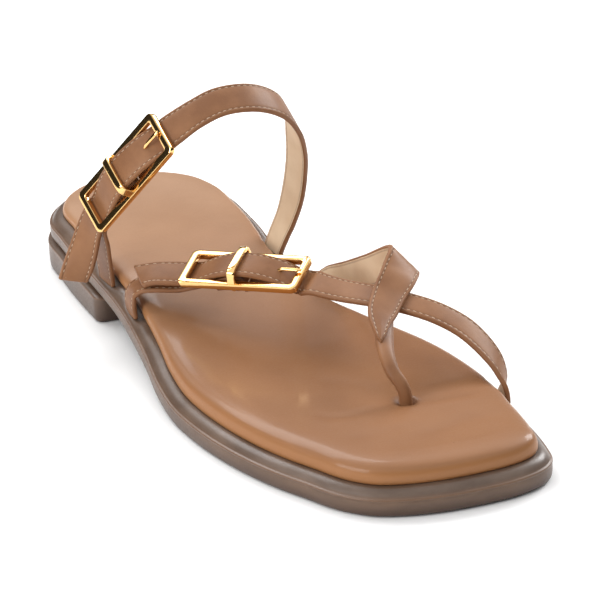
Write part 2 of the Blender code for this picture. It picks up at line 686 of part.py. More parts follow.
def build_frame(name, group, cutters, empty):
    frame = add_mesh(name, swept_solid(frame_rows(), BAR_THICKNESS, BAR_CHAMFER, closed=True), group, empty,
                     GOLD_METAL)
    rows = [(Vector((BRIDGE_X, y, z)), Vector((1.0, 0.0, 0.0)), BRIDGE_WIDTH) for y, z in BRIDGE_ROUTE]
    bridge = add_mesh(name + "_bridge", swept_solid(rows, BRIDGE_THICKNESS, BAR_CHAMFER), cutters, empty)
    boolean(frame, as_cutter(bridge), "UNION")
    bm = bmesh.new()
    bmesh.ops.create_cone(bm, cap_ends=True, segments=16, radius1=PIVOT_RADIUS, radius2=PIVOT_RADIUS,
                          depth=BUCKLE_WIDTH - BAR_WIDTH)
    turn = Matrix.Translation((BRIDGE_X, 0.0, PIVOT_Z)) @ Matrix.Rotation(math.radians(90.0), 4, "X")
    bmesh.ops.transform(bm, matrix=turn, verts=bm.verts[:])
    boolean(frame, as_cutter(add_mesh(name + "_pivot", bm, cutters, empty)), "UNION")
    return frame


def build_prong(name, group, cutters, empty):
    prong = tube_object(name, prong_points(), PRONG_RADIUS, group, empty, GOLD_METAL)
    rows = []
    for k in range(20):
        angle = math.radians(18.0 * k)
        place = Vector((BRIDGE_X + EYE_RADIUS * math.cos(angle), 0.0, PIVOT_Z + EYE_RADIUS * math.sin(angle)))
        rows.append((place, Vector((0.0, 1.0, 0.0)), 2 * PRONG_RADIUS))
    eye = add_mesh(name + "_eye", swept_solid(rows, 1.1, 0.3, closed=True), cutters, empty)
    boolean(prong, as_cutter(eye), "UNION")
    return prong


def main():
    clear_scene()
    group = new_collection("toe_post_sandal")
    cutters = new_collection("cutters")
    place = Matrix.Translation((MIDDLE_LATERAL * MM, MIDDLE_ALONG * MM, 0.0)) @ Matrix.Rotation(math.pi, 4, "Z")
    axes = add_empty("shoe_axes", group, matrix=place)
    ridge = ridge_outline()
    build_outsole(group, axes, ridge)
    build_heel(group, axes, ridge)
    build_footbed(group, cutters, axes, ridge)
    build_cross_straps(group, cutters, axes)
    build_instep_strap(group, cutters, axes)
    build_anchor("vamp_anchor_strap", VAMP_ANCHOR_TAB, VAMP_ANCHOR_TAB_SIDE, VAMP_ANCHOR, VAMP_BUCKLE,
                 group, cutters, axes)
    build_anchor("instep_anchor_strap", INSTEP_ANCHOR_TAB, INSTEP_ANCHOR_TAB_SIDE, INSTEP_ANCHOR,
                 INSTEP_BUCKLE, group, cutters, axes)
    for label, spec in (("vamp_buckle", VAMP_BUCKLE), ("instep_buckle", INSTEP_BUCKLE)):
        empty = buckle_empty(label, spec, group, axes)
        build_frame(label + "_frame", group, cutters, empty)
        build_prong(label + "_prong", group, cutters, empty)


main()
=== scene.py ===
import math

import bmesh
import bpy
from mathutils import Matrix, Vector


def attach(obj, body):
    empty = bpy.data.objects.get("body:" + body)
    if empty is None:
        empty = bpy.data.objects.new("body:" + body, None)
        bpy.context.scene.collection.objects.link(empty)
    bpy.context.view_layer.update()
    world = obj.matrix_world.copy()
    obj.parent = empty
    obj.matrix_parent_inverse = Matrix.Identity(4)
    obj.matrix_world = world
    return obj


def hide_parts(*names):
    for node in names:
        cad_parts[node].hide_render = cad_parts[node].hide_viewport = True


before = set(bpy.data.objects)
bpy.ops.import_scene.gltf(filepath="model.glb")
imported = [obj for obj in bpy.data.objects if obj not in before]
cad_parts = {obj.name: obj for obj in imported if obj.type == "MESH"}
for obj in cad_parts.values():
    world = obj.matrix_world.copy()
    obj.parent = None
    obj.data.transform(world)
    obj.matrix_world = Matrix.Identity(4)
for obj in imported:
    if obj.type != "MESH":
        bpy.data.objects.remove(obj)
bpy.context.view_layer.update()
print("frame loaded:", len(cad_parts), "nodes")

mm = 0.001
weldDistance = 0.00001

# Shoe axes, in millimetres: lateral is positive towards the outer side of the foot, along runs from the
# back of the heel to the toe, height is measured up from the floor.
shoePlace = {"lateral": 4.0, "along": 128.2}
shoeToFrame = Matrix(((-mm, 0, 0, shoePlace["lateral"] * mm), (0, -mm, 0, shoePlace["along"] * mm),
                      (0, 0, mm, 0), (0, 0, 0, 1)))


def toFrame(point):
    return Vector(((shoePlace["lateral"] - point[0]) * mm, (shoePlace["along"] - point[1]) * mm,
                   point[2] * mm))


def toShoe(place):
    return Vector((shoePlace["lateral"] - place.x / mm, shoePlace["along"] - place.y / mm, place.z / mm))


def smoothRows(rows, perSpan):
    # Catmull-Rom curve through rows of numbers
    made = []
    last = len(rows) - 1
    for i in range(last):
        four = [rows[min(max(i + k, 0), last)] for k in (-1, 0, 1, 2)]
        for k in range(perSpan):
            t = k / perSpan
            made.append(tuple(0.5 * (2 * b + (c - a) * t + (2 * a - 5 * b + 4 * c - d) * t * t
                                     + (3 * b - a - 3 * c + d) * t * t * t) for a, b, c, d in zip(*four)))
    return made + [tuple(rows[-1])]


def tableAt(rows, x):
    # smooth curve through (x, y) rows, flat outside them
    if x <= rows[0][0]:
        return rows[0][1]
    for i in range(len(rows) - 1):
        (x0, y0), (x1, y1) = rows[i], rows[i + 1]
        if x <= x1:
            before, after = rows[max(i - 1, 0)], rows[min(i + 2, len(rows) - 1)]
            slope0 = (y1 - before[1]) / (x1 - before[0])
            slope1 = (after[1] - y0) / (after[0] - x0)
            if y0 == y1:
                slope0 = slope1 = 0.0
            h = x1 - x0
            t = (x - x0) / h
            return ((2 * t ** 3 - 3 * t ** 2 + 1) * y0 + (t ** 3 - 2 * t ** 2 + t) * h * slope0
                    + (3 * t ** 2 - 2 * t ** 3) * y1 + (t ** 3 - t ** 2) * h * slope1)
    return rows[-1][1]


def roundedCorners(points, passes):
    # open line whose corners are cut at a quarter of each side, again and again
    for _ in range(passes):
        cut = [points[0]]
        for a, b in zip(points, points[1:]):
            cut.append(tuple(0.75 * p + 0.25 * q for p, q in zip(a, b)))
            cut.append(tuple(0.25 * p + 0.75 * q for p, q in zip(a, b)))
        points = cut + [points[-1]]
    return points


def softStep(t):
    t = min(max(t, 0.0), 1.0)
    return t * t * (3.0 - 2.0 * t)


def gridLoft(columns, rows, placeAt, closedRows=False, capEnds=False, paints=None, materialAt=None):
    # A grid bent into a tube: placeAt(column, row) gives a place and a (u, v) pair, paints are values kept
    # on the vertices. The last column meets the first one, and so do the rows where they are closed.
    bm = bmesh.new()
    steps = rows if closedRows else rows - 1
    bmesh.ops.create_grid(bm, x_segments=columns, y_segments=steps, size=1.0)
    uv = bm.loops.layers.uv.new("surface")
    for label in paints or {}:
        bm.verts.layers.float.new(label)
    made = {}
    for vert in bm.verts:
        cell = (round((vert.co.x + 1.0) / 2.0 * columns), round((vert.co.y + 1.0) / 2.0 * steps))
        made[vert] = (cell, *placeAt(*cell))
    for face in bm.faces:
        if materialAt:
            cells = [made[vert][0] for vert in face.verts]
            face.material_index = materialAt(min(c[0] for c in cells), min(c[1] for c in cells))
        for loop in face.loops:
            loop[uv].uv = made[loop.vert][2]
    for label, valueAt in (paints or {}).items():
        layer = bm.verts.layers.float[label]
        for vert, (cell, place, _) in made.items():
            vert[layer] = valueAt(cell, place)
    for vert, (_, place, _) in made.items():
        vert.co = place
    bmesh.ops.remove_doubles(bm, verts=bm.verts[:], dist=weldDistance)
    bmesh.ops.dissolve_degenerate(bm, edges=bm.edges[:], dist=weldDistance)
    if capEnds:
        rim = [edge for edge in bm.edges if edge.is_boundary]
        bmesh.ops.holes_fill(bm, edges=rim, sides=0)
    bmesh.ops.recalc_face_normals(bm, faces=bm.faces[:])
    return bm


def joinInto(target, extra):
    # move the mesh of one bmesh into another
    mesh = bpy.data.meshes.new("moved")
    extra.to_mesh(mesh)
    extra.free()
    target.from_mesh(mesh)
    bpy.data.meshes.remove(mesh)


def intoScene(name, data):
    made = bpy.data.objects.new(name, data)
    bpy.context.scene.collection.objects.link(made)
    return made


def meshObject(name, bm, materials):
    mesh = bpy.data.meshes.new(name)
    bm.to_mesh(mesh)
    bm.free()
    for material in materials:
        mesh.materials.append(material)
    return intoScene(name, mesh)


def finishPiece(name, bm, materials, node=None, sharpAngle=None):
    # a smooth-shaded object from a bmesh, riding on the one body, with the CAD node it stands for hidden
    piece = meshObject(name, bm, materials)
    piece.data.shade_smooth()
    if sharpAngle:
        piece.data.set_sharp_from_angle(angle=math.radians(sharpAngle))
    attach(piece, "root")
    if node:
        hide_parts(node)
    return piece


def addNode(tree, kind, feeds=None, **values):
    # feeds puts a number, a colour or another node's output into each input that it names
    node = tree.nodes.new(kind)
    for key, value in values.items():
        setattr(node, key, value)
    for key, value in (feeds or {}).items():
        if isinstance(value, bpy.types.NodeSocket):
            tree.links.new(value, node.inputs[key])
        else:
            node.inputs[key].default_value = value
    return node


def newGroup(name, inputs, outputs):
    # inputs: each one's starting number, or None for a vector
    tree = bpy.data.node_groups.new(name, "ShaderNodeTree")
    for label, value in inputs.items():
        kind = "NodeSocketVector" if value is None else "NodeSocketFloat"
        socket = tree.interface.new_socket(name=label, in_out="INPUT", socket_type=kind)
        if value is not None:
            socket.default_value = value
    for label in outputs:
        tree.interface.new_socket(name=label, in_out="OUTPUT", socket_type="NodeSocketFloat")
    return tree, tree.nodes.new("NodeGroupInput").outputs, tree.nodes.new("NodeGroupOutput").inputs


def noiseAt(tree, place, scale, detail=2.0, roughness=0.5):
    return addNode(tree, "ShaderNodeTexNoise", {"Vector": place, "Scale": scale, "Detail": detail,
                                                "Roughness": roughness}).outputs["Fac"]


def reckon(tree, operation, *terms, clamp=False):
    return addNode(tree, "ShaderNodeMath", dict(enumerate(terms)), operation=operation,
                   use_clamp=clamp).outputs[0]


def makeGrainGroup():
    # fine leather grain: pebbles, pores and slow cloudiness
    inputs = {"Vector": None, "Pebble Scale": 1500.0, "Cloud Scale": 40.0}
    tree, given, made = newGroup("leatherGrain", inputs, ("Height", "Cloud", "Fine"))
    place, pebbleScale = given["Vector"], given["Pebble Scale"]
    pebble = addNode(tree, "ShaderNodeTexVoronoi",
                     {"Vector": place, "Scale": pebbleScale, "Smoothness": 0.6}, feature="SMOOTH_F1")
    fine = noiseAt(tree, place, pebbleScale, detail=5.0, roughness=0.62)
    tree.links.new(reckon(tree, "MULTIPLY_ADD", pebble.outputs["Distance"], 0.6, fine), made["Height"])
    cloud = noiseAt(tree, place, given["Cloud Scale"], detail=4.0, roughness=0.55)
    tree.links.new(cloud, made["Cloud"])
    tree.links.new(fine, made["Fine"])
    return tree


def makeStitchShadeGroup():
    # mask of the painted shade along the stitch channel, from how far a point is from the strap's edge
    tree, given, made = newGroup("sewnLine", {"Across": 0.0, "Line": 1.0, "Width": 0.4}, ("Mask",))
    far = reckon(tree, "ABSOLUTE", reckon(tree, "SUBTRACT", given["Across"], given["Line"]))
    part = reckon(tree, "DIVIDE", far, given["Width"])
    tree.links.new(reckon(tree, "SUBTRACT", 1.0, part, clamp=True), made["Mask"])
    return tree


grainGroup = makeGrainGroup()
sewnGroup = makeStitchShadeGroup()


def newMaterial(name, values):
    # values: what the shader's own inputs are set to
    material = bpy.data.materials.new(name)
    material.use_nodes = True
    shader = material.node_tree.nodes["Principled BSDF"]
    for label, value in values.items():
        shader.inputs[label].default_value = value
    return material, material.node_tree, shader


def objectPlace(tree):
    return addNode(tree, "ShaderNodeTexCoord").outputs["Object"]


def paintOf(tree, label):
    # a tone painted on the mesh
    return addNode(tree, "ShaderNodeAttribute", attribute_name=label).outputs["Fac"]


def mapRange(tree, value, low, high, toLow=0.0, toHigh=1.0):
    feeds = {"Value": value, "From Min": low, "From Max": high, "To Min": toLow, "To Max": toHigh}
    return addNode(tree, "ShaderNodeMapRange", feeds, clamp=True).outputs["Result"]


def mixColour(tree, factor, first, second):
    # first and second are sockets or colours, factor is a socket
    first, second = ((*tone, 1.0) if isinstance(tone, tuple) else tone for tone in (first, second))
    return addNode(tree, "ShaderNodeMix", {"Factor": factor, 6: first, 7: second}, data_type="RGBA",
                   clamp_factor=True).outputs[2]


def tinted(tree, base, mask, most, tone):
    # turned towards a tone by a mask, at most by the given part
    return mixColour(tree, mapRange(tree, mask, 0.0, 1.0, 0.0, most), base, tone)


def grainOn(tree, look):
    feeds = {"Vector": objectPlace(tree), "Pebble Scale": look["pebbleScale"],
             "Cloud Scale": look["cloudScale"]}
    return addNode(tree, "ShaderNodeGroup", feeds, node_tree=grainGroup).outputs


grainRange = (0.3, 0.7)     # of the noise, spread over a look's own range of roughness


def dress(tree, shader, look, tone, grain, height):
    # a surface's colour, then its roughness and bump where its look has them
    link = tree.links.new
    link(tone, shader.inputs["Base Color"])
    if "roughness" in look:
        link(mapRange(tree, grain, *grainRange, *look["roughness"]), shader.inputs["Roughness"])
    if "bump" in look:
        strength, distance = look["bump"]
        feeds = {"Strength": strength, "Distance": distance, "Height": height}
        link(addNode(tree, "ShaderNodeBump", feeds).outputs["Normal"], shader.inputs["Normal"])


strapLook = {
    "shader": {"Roughness": 0.46, "Coat Weight": 0.03, "Coat Roughness": 0.25, "Specular IOR Level": 0.22},
    "light": (0.285, 0.133, 0.060), "dark": (0.200, 0.086, 0.037), "clouds": (0.35, 0.68),
    # painted shade along the stitch channel: its tone and how far it goes
    "sewn": (0.085, 0.034, 0.015), "sewnPart": 0.55,
    # a slightly lighter band along the rounded edges: painted highlight
    "edge": (0.25, 0.112, 0.051), "edgeFade": (0.05, 0.62), "edgePart": 0.6,
    "pebbleScale": 1900.0, "cloudScale": 70.0, "roughness": (0.41, 0.55), "bump": (0.22, 0.00012),
}
liningLook = {
    "shader": {"Roughness": 0.55},
    "light": (0.79, 0.62, 0.435), "dark": (0.70, 0.52, 0.345), "clouds": (0.35, 0.65),
    # painted shade along the stitch channel: its tone and how far it goes
    "sewn": (0.200, 0.086, 0.037), "sewnPart": 0.45,
    "pebbleScale": 1500.0, "cloudScale": 90.0, "bump": (0.25, 0.00015),
}
# where the painted shade of the stitch channel runs and how wide it is
sewnLine = {"fromEdge": 1.2, "width": 0.42}


def makeStrapFace(name, look):
    material, tree, shader = newMaterial(name, look["shader"])
    grain = grainOn(tree, look)
    base = mixColour(tree, mapRange(tree, grain["Cloud"], *look["clouds"]), look["dark"], look["light"])
    fromEdge = paintOf(tree, "fromEdge")
    feeds = {"Across": fromEdge, "Line": sewnLine["fromEdge"], "Width": sewnLine["width"]}
    sewn = addNode(tree, "ShaderNodeGroup", feeds, node_tree=sewnGroup)
    # painted shade along the stitch channel
    base = tinted(tree, base, sewn.outputs["Mask"], look["sewnPart"], look["sewn"])
    # a slightly lighter band along the rounded edges, painted highlight
    if "edge" in look:
        edge = mapRange(tree, fromEdge, *look["edgeFade"], look["edgePart"], 0.0)
        base = mixColour(tree, edge, base, look["edge"])
    dress(tree, shader, look, base, grain["Fine"], grain["Height"])
    return material


padLook = {
    "shader": {"Roughness": 0.48, "Coat Roughness": 0.14, "Specular IOR Level": 0.2},
    "toe": (0.276, 0.126, 0.054), "heel": (0.375, 0.222, 0.134), "heelFade": (-0.02, 0.10),
    # dark is the tone of the random clouds and also of the painted shade in the folds, round the post's
    # hole and at the foot of the wall
    "dark": (0.14, 0.056, 0.022), "clouds": (0.38, 0.66), "cloudPart": 0.22, "foldShadePart": 0.75,
    "edge": (0.37, 0.160, 0.056), "edgePart": 0.8, "coat": 0.25, "dullFold": (0.2, 0.8),
    "pebbleScale": 1300.0, "cloudScale": 26.0, "roughness": (0.43, 0.57), "bump": (0.18, 0.00012),
}


def makePadLeather():
    look = padLook
    material, tree, shader = newMaterial("padLeather", look["shader"])
    grain = grainOn(tree, look)
    split = addNode(tree, "ShaderNodeSeparateXYZ", {"Vector": objectPlace(tree)})
    base = mixColour(tree, mapRange(tree, split.outputs["Y"], *look["heelFade"]), look["toe"], look["heel"])
    cloud = mapRange(tree, grain["Cloud"], *look["clouds"], look["cloudPart"], 0.0)
    base = mixColour(tree, cloud, base, look["dark"])
    base = tinted(tree, base, paintOf(tree, "rimTone"), look["edgePart"], look["edge"])
    # painted shade in the folds, round the toe post's hole and at the foot of the wall
    fold = paintOf(tree, "foldShade")
    base = tinted(tree, base, fold, look["foldShadePart"], look["dark"])
    tree.links.new(mapRange(tree, fold, *look["dullFold"], look["coat"], 0.0), shader.inputs["Coat Weight"])
    dress(tree, shader, look, base, grain["Fine"], grain["Height"])
    return material


rubberLook = {
    "shader": {"Roughness": 0.42, "Coat Weight": 0.30, "Coat Roughness": 0.27},
    "side": (0.096, 0.048, 0.024), "sideLight": (0.142, 0.076, 0.041), "heel": (0.095, 0.052, 0.030),
    # rim is a painted highlight along the ridge of the sole and the top bevel of the heel
    "clouds": (0.36, 0.66), "low": (0.047, 0.021, 0.010), "lowPart": 0.8, "rim": (0.150, 0.074, 0.036),
    "welt": (0.088, 0.050, 0.030), "weltLight": (0.135, 0.085, 0.057), "weltClouds": (0.42, 0.70),
    "stretch": (1.0, 1.0, 3.0), "cloudScale": 60.0, "cloudDetail": 6.0,
    "speckScale": 1400.0, "speckDetail": 3.0,
    "roughness": (0.38, 0.52), "bump": (0.1, 0.0001),
}


def makeRubber(name, dark, light):
    look = rubberLook
    material, tree, shader = newMaterial(name, look["shader"])
    place = objectPlace(tree)
    stretched = addNode(tree, "ShaderNodeMapping", {"Vector": place, "Scale": look["stretch"]})
    cloud = noiseAt(tree, stretched.outputs["Vector"], look["cloudScale"], look["cloudDetail"])
    speck = noiseAt(tree, place, look["speckScale"], look["speckDetail"])
    base = mixColour(tree, mapRange(tree, cloud, *look["clouds"]), look[dark], look[light])
    base = tinted(tree, base, paintOf(tree, "lowTone"), look["lowPart"], look["low"])
    welt = mixColour(tree, mapRange(tree, cloud, *look["weltClouds"]), look["welt"], look["weltLight"])
    base = mixColour(tree, paintOf(tree, "weltTone"), base, welt)
    # painted highlight along the ridge
    base = mixColour(tree, paintOf(tree, "rimTone"), base, look["rim"])
    dress(tree, shader, look, base, speck, speck)
    return material


mottledLooks = {
    "sewingThread": {"shader": {"Roughness": 0.6}, "tones": ((0.43, 0.28, 0.165), (0.62, 0.48, 0.35)),
                     "scale": 900.0, "detail": 2.0, "bump": (0.3, 0.0001)},
    "polishedGold": {"shader": {"Metallic": 1.0, "Roughness": 0.13},
                     "tones": ((0.93, 0.62, 0.27), (0.88, 0.55, 0.21)),
                     "scale": 500.0, "detail": 4.0, "roughness": (0.06, 0.12), "bump": (0.04, 0.00008)},
    # dark discs standing in for the holes: painted shade of their depth
    "punchedHoleShade": {"shader": {"Roughness": 0.7}, "tones": ((0.045, 0.022, 0.013), (0.09, 0.045, 0.027)),
                    "scale": 1200.0, "detail": 2.0},
}


def makeMottled(name):
    look = mottledLooks[name]
    material, tree, shader = newMaterial(name, look["shader"])
    noise = noiseAt(tree, objectPlace(tree), look["scale"], look["detail"])
    dress(tree, shader, look, mixColour(tree, noise, *look["tones"]), noise, noise)
    return material


strapLeather = makeStrapFace("strapLeather", strapLook)
strapLining = makeStrapFace("strapLining", liningLook)
sewingThread = makeMottled("sewingThread")
padLeather = makePadLeather()
soleRubber = makeRubber("soleRubber", "side", "sideLight")
heelRubber = makeRubber("heelRubber", "heel", "side")
polishedGold = makeMottled("polishedGold")
punchedHoleShade = makeMottled("punchedHoleShade")
print("materials made:", len(bpy.data.materials))


solePlan = {
    # outline of the ridge between band and welt, seen from above
    "heelRadius": 32.2, "heelDepth": 29.5, "heelCentre": 0.9,
    "sides": (  # along, outer side, inner side
        (33.0, 33.6, -32.0), (46.0, 35.6, -31.0), (60.0, 37.2, -29.2), (76.0, 38.7, -26.2),
        (92.0, 40.0, -23.6), (107.0, 42.4, -22.7), (123.0, 45.6, -25.2), (138.0, 49.2, -31.0),
        (154.0, 51.7, -37.2), (170.0, 52.2, -40.8), (185.0, 51.1, -42.3), (200.0, 48.5, -42.5),
        (213.0, 44.9, -41.6)),
    "toeOuter": ((40.3, 225.0), (37.1, 233.5), (33.1, 240.4), (27.5, 246.6), (18.9, 251.4), (8.1, 254.9)),
    "toeInner": ((-39.9, 221.5), (-38.2, 232.3), (-36.1, 241.8), (-33.0, 250.0), (-26.6, 255.0),
                 (-16.4, 257.2)),
    "toeTip": (-4.0, 256.8),
    "underside": ((0.0, 10.1), (30.0, 10.0), (60.0, 10.0), (80.0, 9.2), (99.0, 7.2), (115.0, 5.1),
                  (130.0, 2.9), (143.0, 1.2), (155.0, 0.15), (165.0, 0.0), (200.0, 0.0), (238.0, 0.0),
                  (258.0, 0.5)),
    "spine": (33.0, 214.0), "endDensity": 2.2, "stations": 250, "perSpan": 14, "heelSteps": 6,
    "leastLean": 0.55, "bandHeight": 5.9, "weltRise": 2.8, "weltWidth": 4.6,
}


def undersideAt(along):
    return max(tableAt(solePlan["underside"], along), 0.0)


def weltTopAt(along):
    return undersideAt(along) + solePlan["bandHeight"] + solePlan["weltRise"]


def spaced(points, steps):
    # points at even steps along a line, closer together round the heel and the toe
    travel = [0.0]
    low, high = solePlan["spine"]
    for a, b in zip(points, points[1:]):
        step = math.dist(a, b)
        if not low <= (a[1] + b[1]) / 2 <= high:
            step *= solePlan["endDensity"]
        travel.append(travel[-1] + step)
    made = []
    i = 0
    for k in range(steps + 1):
        goal = travel[-1] * k / steps
        while i < len(points) - 2 and travel[i + 1] < goal:
            i += 1
        t = (goal - travel[i]) / (travel[i + 1] - travel[i])
        made.append(tuple(a + (b - a) * t for a, b in zip(points[i], points[i + 1])))
    return made


def sidePath(sign, column, toe):
    # one side of the ridge, from the back of the heel to the tip of the toe
    points = []
    for k in range(solePlan["heelSteps"]):
        angle = math.radians(90.0 * k / solePlan["heelSteps"])
        points.append((solePlan["heelCentre"] + sign * solePlan["heelRadius"] * math.sin(angle),
                       solePlan["heelDepth"] * (1.0 - math.cos(angle))))
    points += [(row[column], row[0]) for row in solePlan["sides"]]
    points += list(solePlan[toe]) + [solePlan["toeTip"]]
    return spaced(smoothRows(points, solePlan["perSpan"]), solePlan["stations"])


outerSide = sidePath(1.0, 1, "toeOuter")
innerSide = sidePath(-1.0, 2, "toeInner")
ridge = outerSide + innerSide[-2:0:-1]


def insetOutline(insets):
    # each point of the ridge moved in by its own distance, towards the middle line of the shoe
    count = len(ridge)
    low, high = solePlan["spine"]
    made = []
    for i, (lateral, along) in enumerate(ridge):
        before, after = ridge[i - 1], ridge[(i + 1) % count]
        run = Vector((after[0] - before[0], after[1] - before[1])).normalized()
        inward = Vector((run.y, -run.x))
        opposite = ridge[(count - i) % count]
        target = Vector(((opposite[0] - lateral) / 2, min(max(along, low), high) - along)).normalized()
        if target.dot(inward) < 0.0:
            inward = -inward
        step = insets[i] / max(target.dot(inward), solePlan["leastLean"])
        made.append((lateral + target.x * step, along + target.y * step))
    return made


def stationLoft(rings, heights, across, shape=None, paints=None):
    # Sections across the shoe, heel to toe: rings[k] is an outline, heights[k](along) its height. A column
    # runs under the shoe, up the outer side, over the top and down the inner side.
    stations = solePlan["stations"]
    count = len(ridge)
    steps = [("low", k / across) for k in range(across)]
    steps += [("outer", k) for k in range(len(rings) - 1)]
    steps += [("high", k / across) for k in range(across)]
    steps += [("inner", k) for k in range(len(rings) - 1, 0, -1)]

    def ringPoint(k, i, outer):
        index = i if outer else (count - i) % count
        lateral, along = rings[k][index]
        return Vector((lateral, along, heights[k](ridge[index][1])))

    def placeAt(column, row):
        kind, value = steps[column % len(steps)]
        if kind == "low":
            point = ringPoint(0, row, False).lerp(ringPoint(0, row, True), value)
        elif kind == "high":
            point = ringPoint(len(rings) - 1, row, True).lerp(ringPoint(len(rings) - 1, row, False), value)
        else:
            point = ringPoint(value, row, kind == "outer")
        if shape:
            point = shape(point, kind, value)
        return toFrame(point), (column / len(steps), row / stations)

    return gridLoft(len(steps), stations + 1, placeAt, paints=paints)


soleSection = {
    # inset from the ridge, part of the band's height, rise above the ridge
    "rows": ((2.2, 0.0, 0.0), (1.3, 0.0, 0.0), (0.8, 0.02, 0.0), (0.42, 0.08, 0.0), (0.2, 0.18, 0.0),
             (0.08, 0.32, 0.0), (0.04, 0.5, 0.0), (0.06, 0.7, 0.0), (0.14, 0.8, 0.0), (0.2, 0.84, 0.0),
             (0.1, 0.87, 0.0), (-0.06, 0.92, 0.0), (-0.02, 0.98, 0.0), (0.16, 1.0, 0.08), (0.42, 1.0, 0.1),
             (0.6, 1.0, 0.16), (0.8, 1.0, 0.36), (1.2, 1.0, 0.9), (1.7, 1.0, 1.5), (2.3, 1.0, 2.05),
             (3.0, 1.0, 2.42), (3.8, 1.0, 2.64), (4.6, 1.0, 2.72), (5.6, 1.0, 2.72), (8.0, 1.0, 2.6)),
    # where a strap comes out between welt and footbed: lateral, along, half length, depth
    "dips": ((-18.0, 82.2, 6.2, 1.3), (-17.5, 114.2, 5.8, 1.4), (-36.5, 206.6, 5.8, 1.4),
             (34.5, 76.0, 6.0, 1.4), (35.5, 99.8, 5.2, 1.6)),
    "dipReach": 14.0, "dipFlat": 0.75, "dipFade": 5.0, "dipFrom": 17, "dipRows": 4.0,
    "undercut": 1.1, "undercutFade": (70.0, 104.0), "grooveFade": 2.4, "across": 8,
    # heights of the painted tones; the rim tone is a lighter line painted along the ridge as a highlight
    "rimAt": 5.68, "rimWide": 0.34, "weltFrom": 6.05, "weltFade": 0.7, "lowFade": 5.0,
}


def groove(along):
    # depth of the channel above the heel block, which fades out along the waist
    low, high = soleSection["undercutFade"]
    return soleSection["undercut"] * (1.0 - softStep((along - low) / (high - low)))


def dipAt(lateral, along):
    depth = 0.0
    for x, y, half, amount in soleSection["dips"]:
        if abs(lateral - x) < soleSection["dipReach"]:
            beyond = abs(along - y) - half * soleSection["dipFlat"]
            depth += amount * (1.0 - softStep(beyond / soleSection["dipFade"]))
    return depth


def makeSole():
    plan = soleSection
    rings, heights = [], []
    for inset, bandPart, rise in plan["rows"]:
        part = 1.0 - softStep(bandPart * plan["grooveFade"])
        rings.append(insetOutline([inset + groove(along) * part for _, along in ridge]))
        heights.append(lambda along, part=bandPart, up=rise: undersideAt(along)
                       + part * solePlan["bandHeight"] + up)

    def shape(point, kind, value):
        if kind in ("outer", "inner") and value > plan["dipFrom"]:
            point.z -= dipAt(point.x, point.y) * min((value - plan["dipFrom"]) / plan["dipRows"], 1.0)
        return point

    def above(place):
        point = toShoe(place)
        return point.z - undersideAt(point.y)

    paints = {
        # a painted highlight along the ridge
        "rimTone": lambda cell, place: math.exp(-((above(place) - plan["rimAt"]) / plan["rimWide"]) ** 2),
        "weltTone": lambda cell, place: softStep((above(place) - plan["weltFrom"]) / plan["weltFade"]),
        "lowTone": lambda cell, place: 1.0 - softStep(above(place) / plan["lowFade"]),
    }
    bm = stationLoft(rings, heights, plan["across"], shape=shape, paints=paints)
    finishPiece("soleUnit", bm, [soleRubber], "outsole")


heelPlan = {
    "proud": 0.9, "gap": 0.3, "breastOuter": 74.0, "breastInner": 81.0, "breastRadius": 4.2,
    # inset from the block's outline, part of its height
    "rows": ((1.3, 0.0), (0.8, 0.02), (0.5, 0.07), (0.36, 0.16), (0.25, 0.35), (0.14, 0.6), (0.08, 0.78),
             (0.1, 0.84), (0.02, 0.88), (0.0, 0.93), (0.12, 0.975), (0.45, 1.0)),
    # rimAt, rimWide and rimPart place a painted highlight along the top bevel
    "cornerSteps": 7, "breastSteps": 24, "rimAt": 0.93, "rimWide": 0.045, "rimPart": 0.9, "lowFade": 0.8,
    "sharpAngle": 60.0,
}


def heelOutline():
    # closed outline of the block: round the heel, then across the breast with rounded corners
    plan = heelPlan
    proud = insetOutline([-plan["proud"]] * len(ridge))
    outer = [p for p in proud[:len(outerSide)] if p[1] < plan["breastOuter"]]
    inner = [p for p in proud[len(outerSide):] if p[1] < plan["breastInner"]]
    start, end = Vector(outer[-1]), Vector(inner[0])
    across = (end - start).normalized()
    radius = plan["breastRadius"]
    outer = [p for p in outer if p[1] < plan["breastOuter"] - radius]
    inner = [p for p in inner if p[1] < plan["breastInner"] - radius]

    def corner(a, middle, b):
        return [tuple(a * (1 - t) ** 2 + middle * 2 * t * (1 - t) + b * t * t)
                for t in (k / plan["cornerSteps"] for k in range(1, plan["cornerSteps"]))]

    leave, arrive = start + across * radius, end - across * radius
    steps = plan["breastSteps"]
    breast = [tuple(leave.lerp(arrive, k / steps)) for k in range(steps + 1)]
    points = inner + outer + corner(Vector(outer[-1]), start, leave) + breast
    return points + corner(arrive, end, Vector(inner[0]))


def makeHeel():
    plan = heelPlan
    outline = [Vector(p) for p in heelOutline()]
    count = len(outline)
    rows = plan["rows"]

    def placeAt(column, row):
        i = column % count
        inset, part = rows[row]
        run = (outline[(i + 1) % count] - outline[i - 1]).normalized()
        flat = outline[i] - Vector((run.y, -run.x)) * inset
        top = undersideAt(outline[i].y) - plan["gap"]
        return toFrame((flat.x, flat.y, part * top)), (i / count, part)

    # painted highlight along the top bevel
    def rimTone(cell, place):
        return plan["rimPart"] * math.exp(-((rows[cell[1]][1] - plan["rimAt"]) / plan["rimWide"]) ** 2)

    paints = {
        "rimTone": rimTone,
        "lowTone": lambda cell, place: 1.0 - softStep(rows[cell[1]][1] / plan["lowFade"]),
        "weltTone": lambda cell, place: 0.0,
    }
    bm = gridLoft(count, len(rows), placeAt, capEnds=True, paints=paints)
    finishPiece("heelBlock", bm, [heelRubber], "heel", sharpAngle=plan["sharpAngle"])


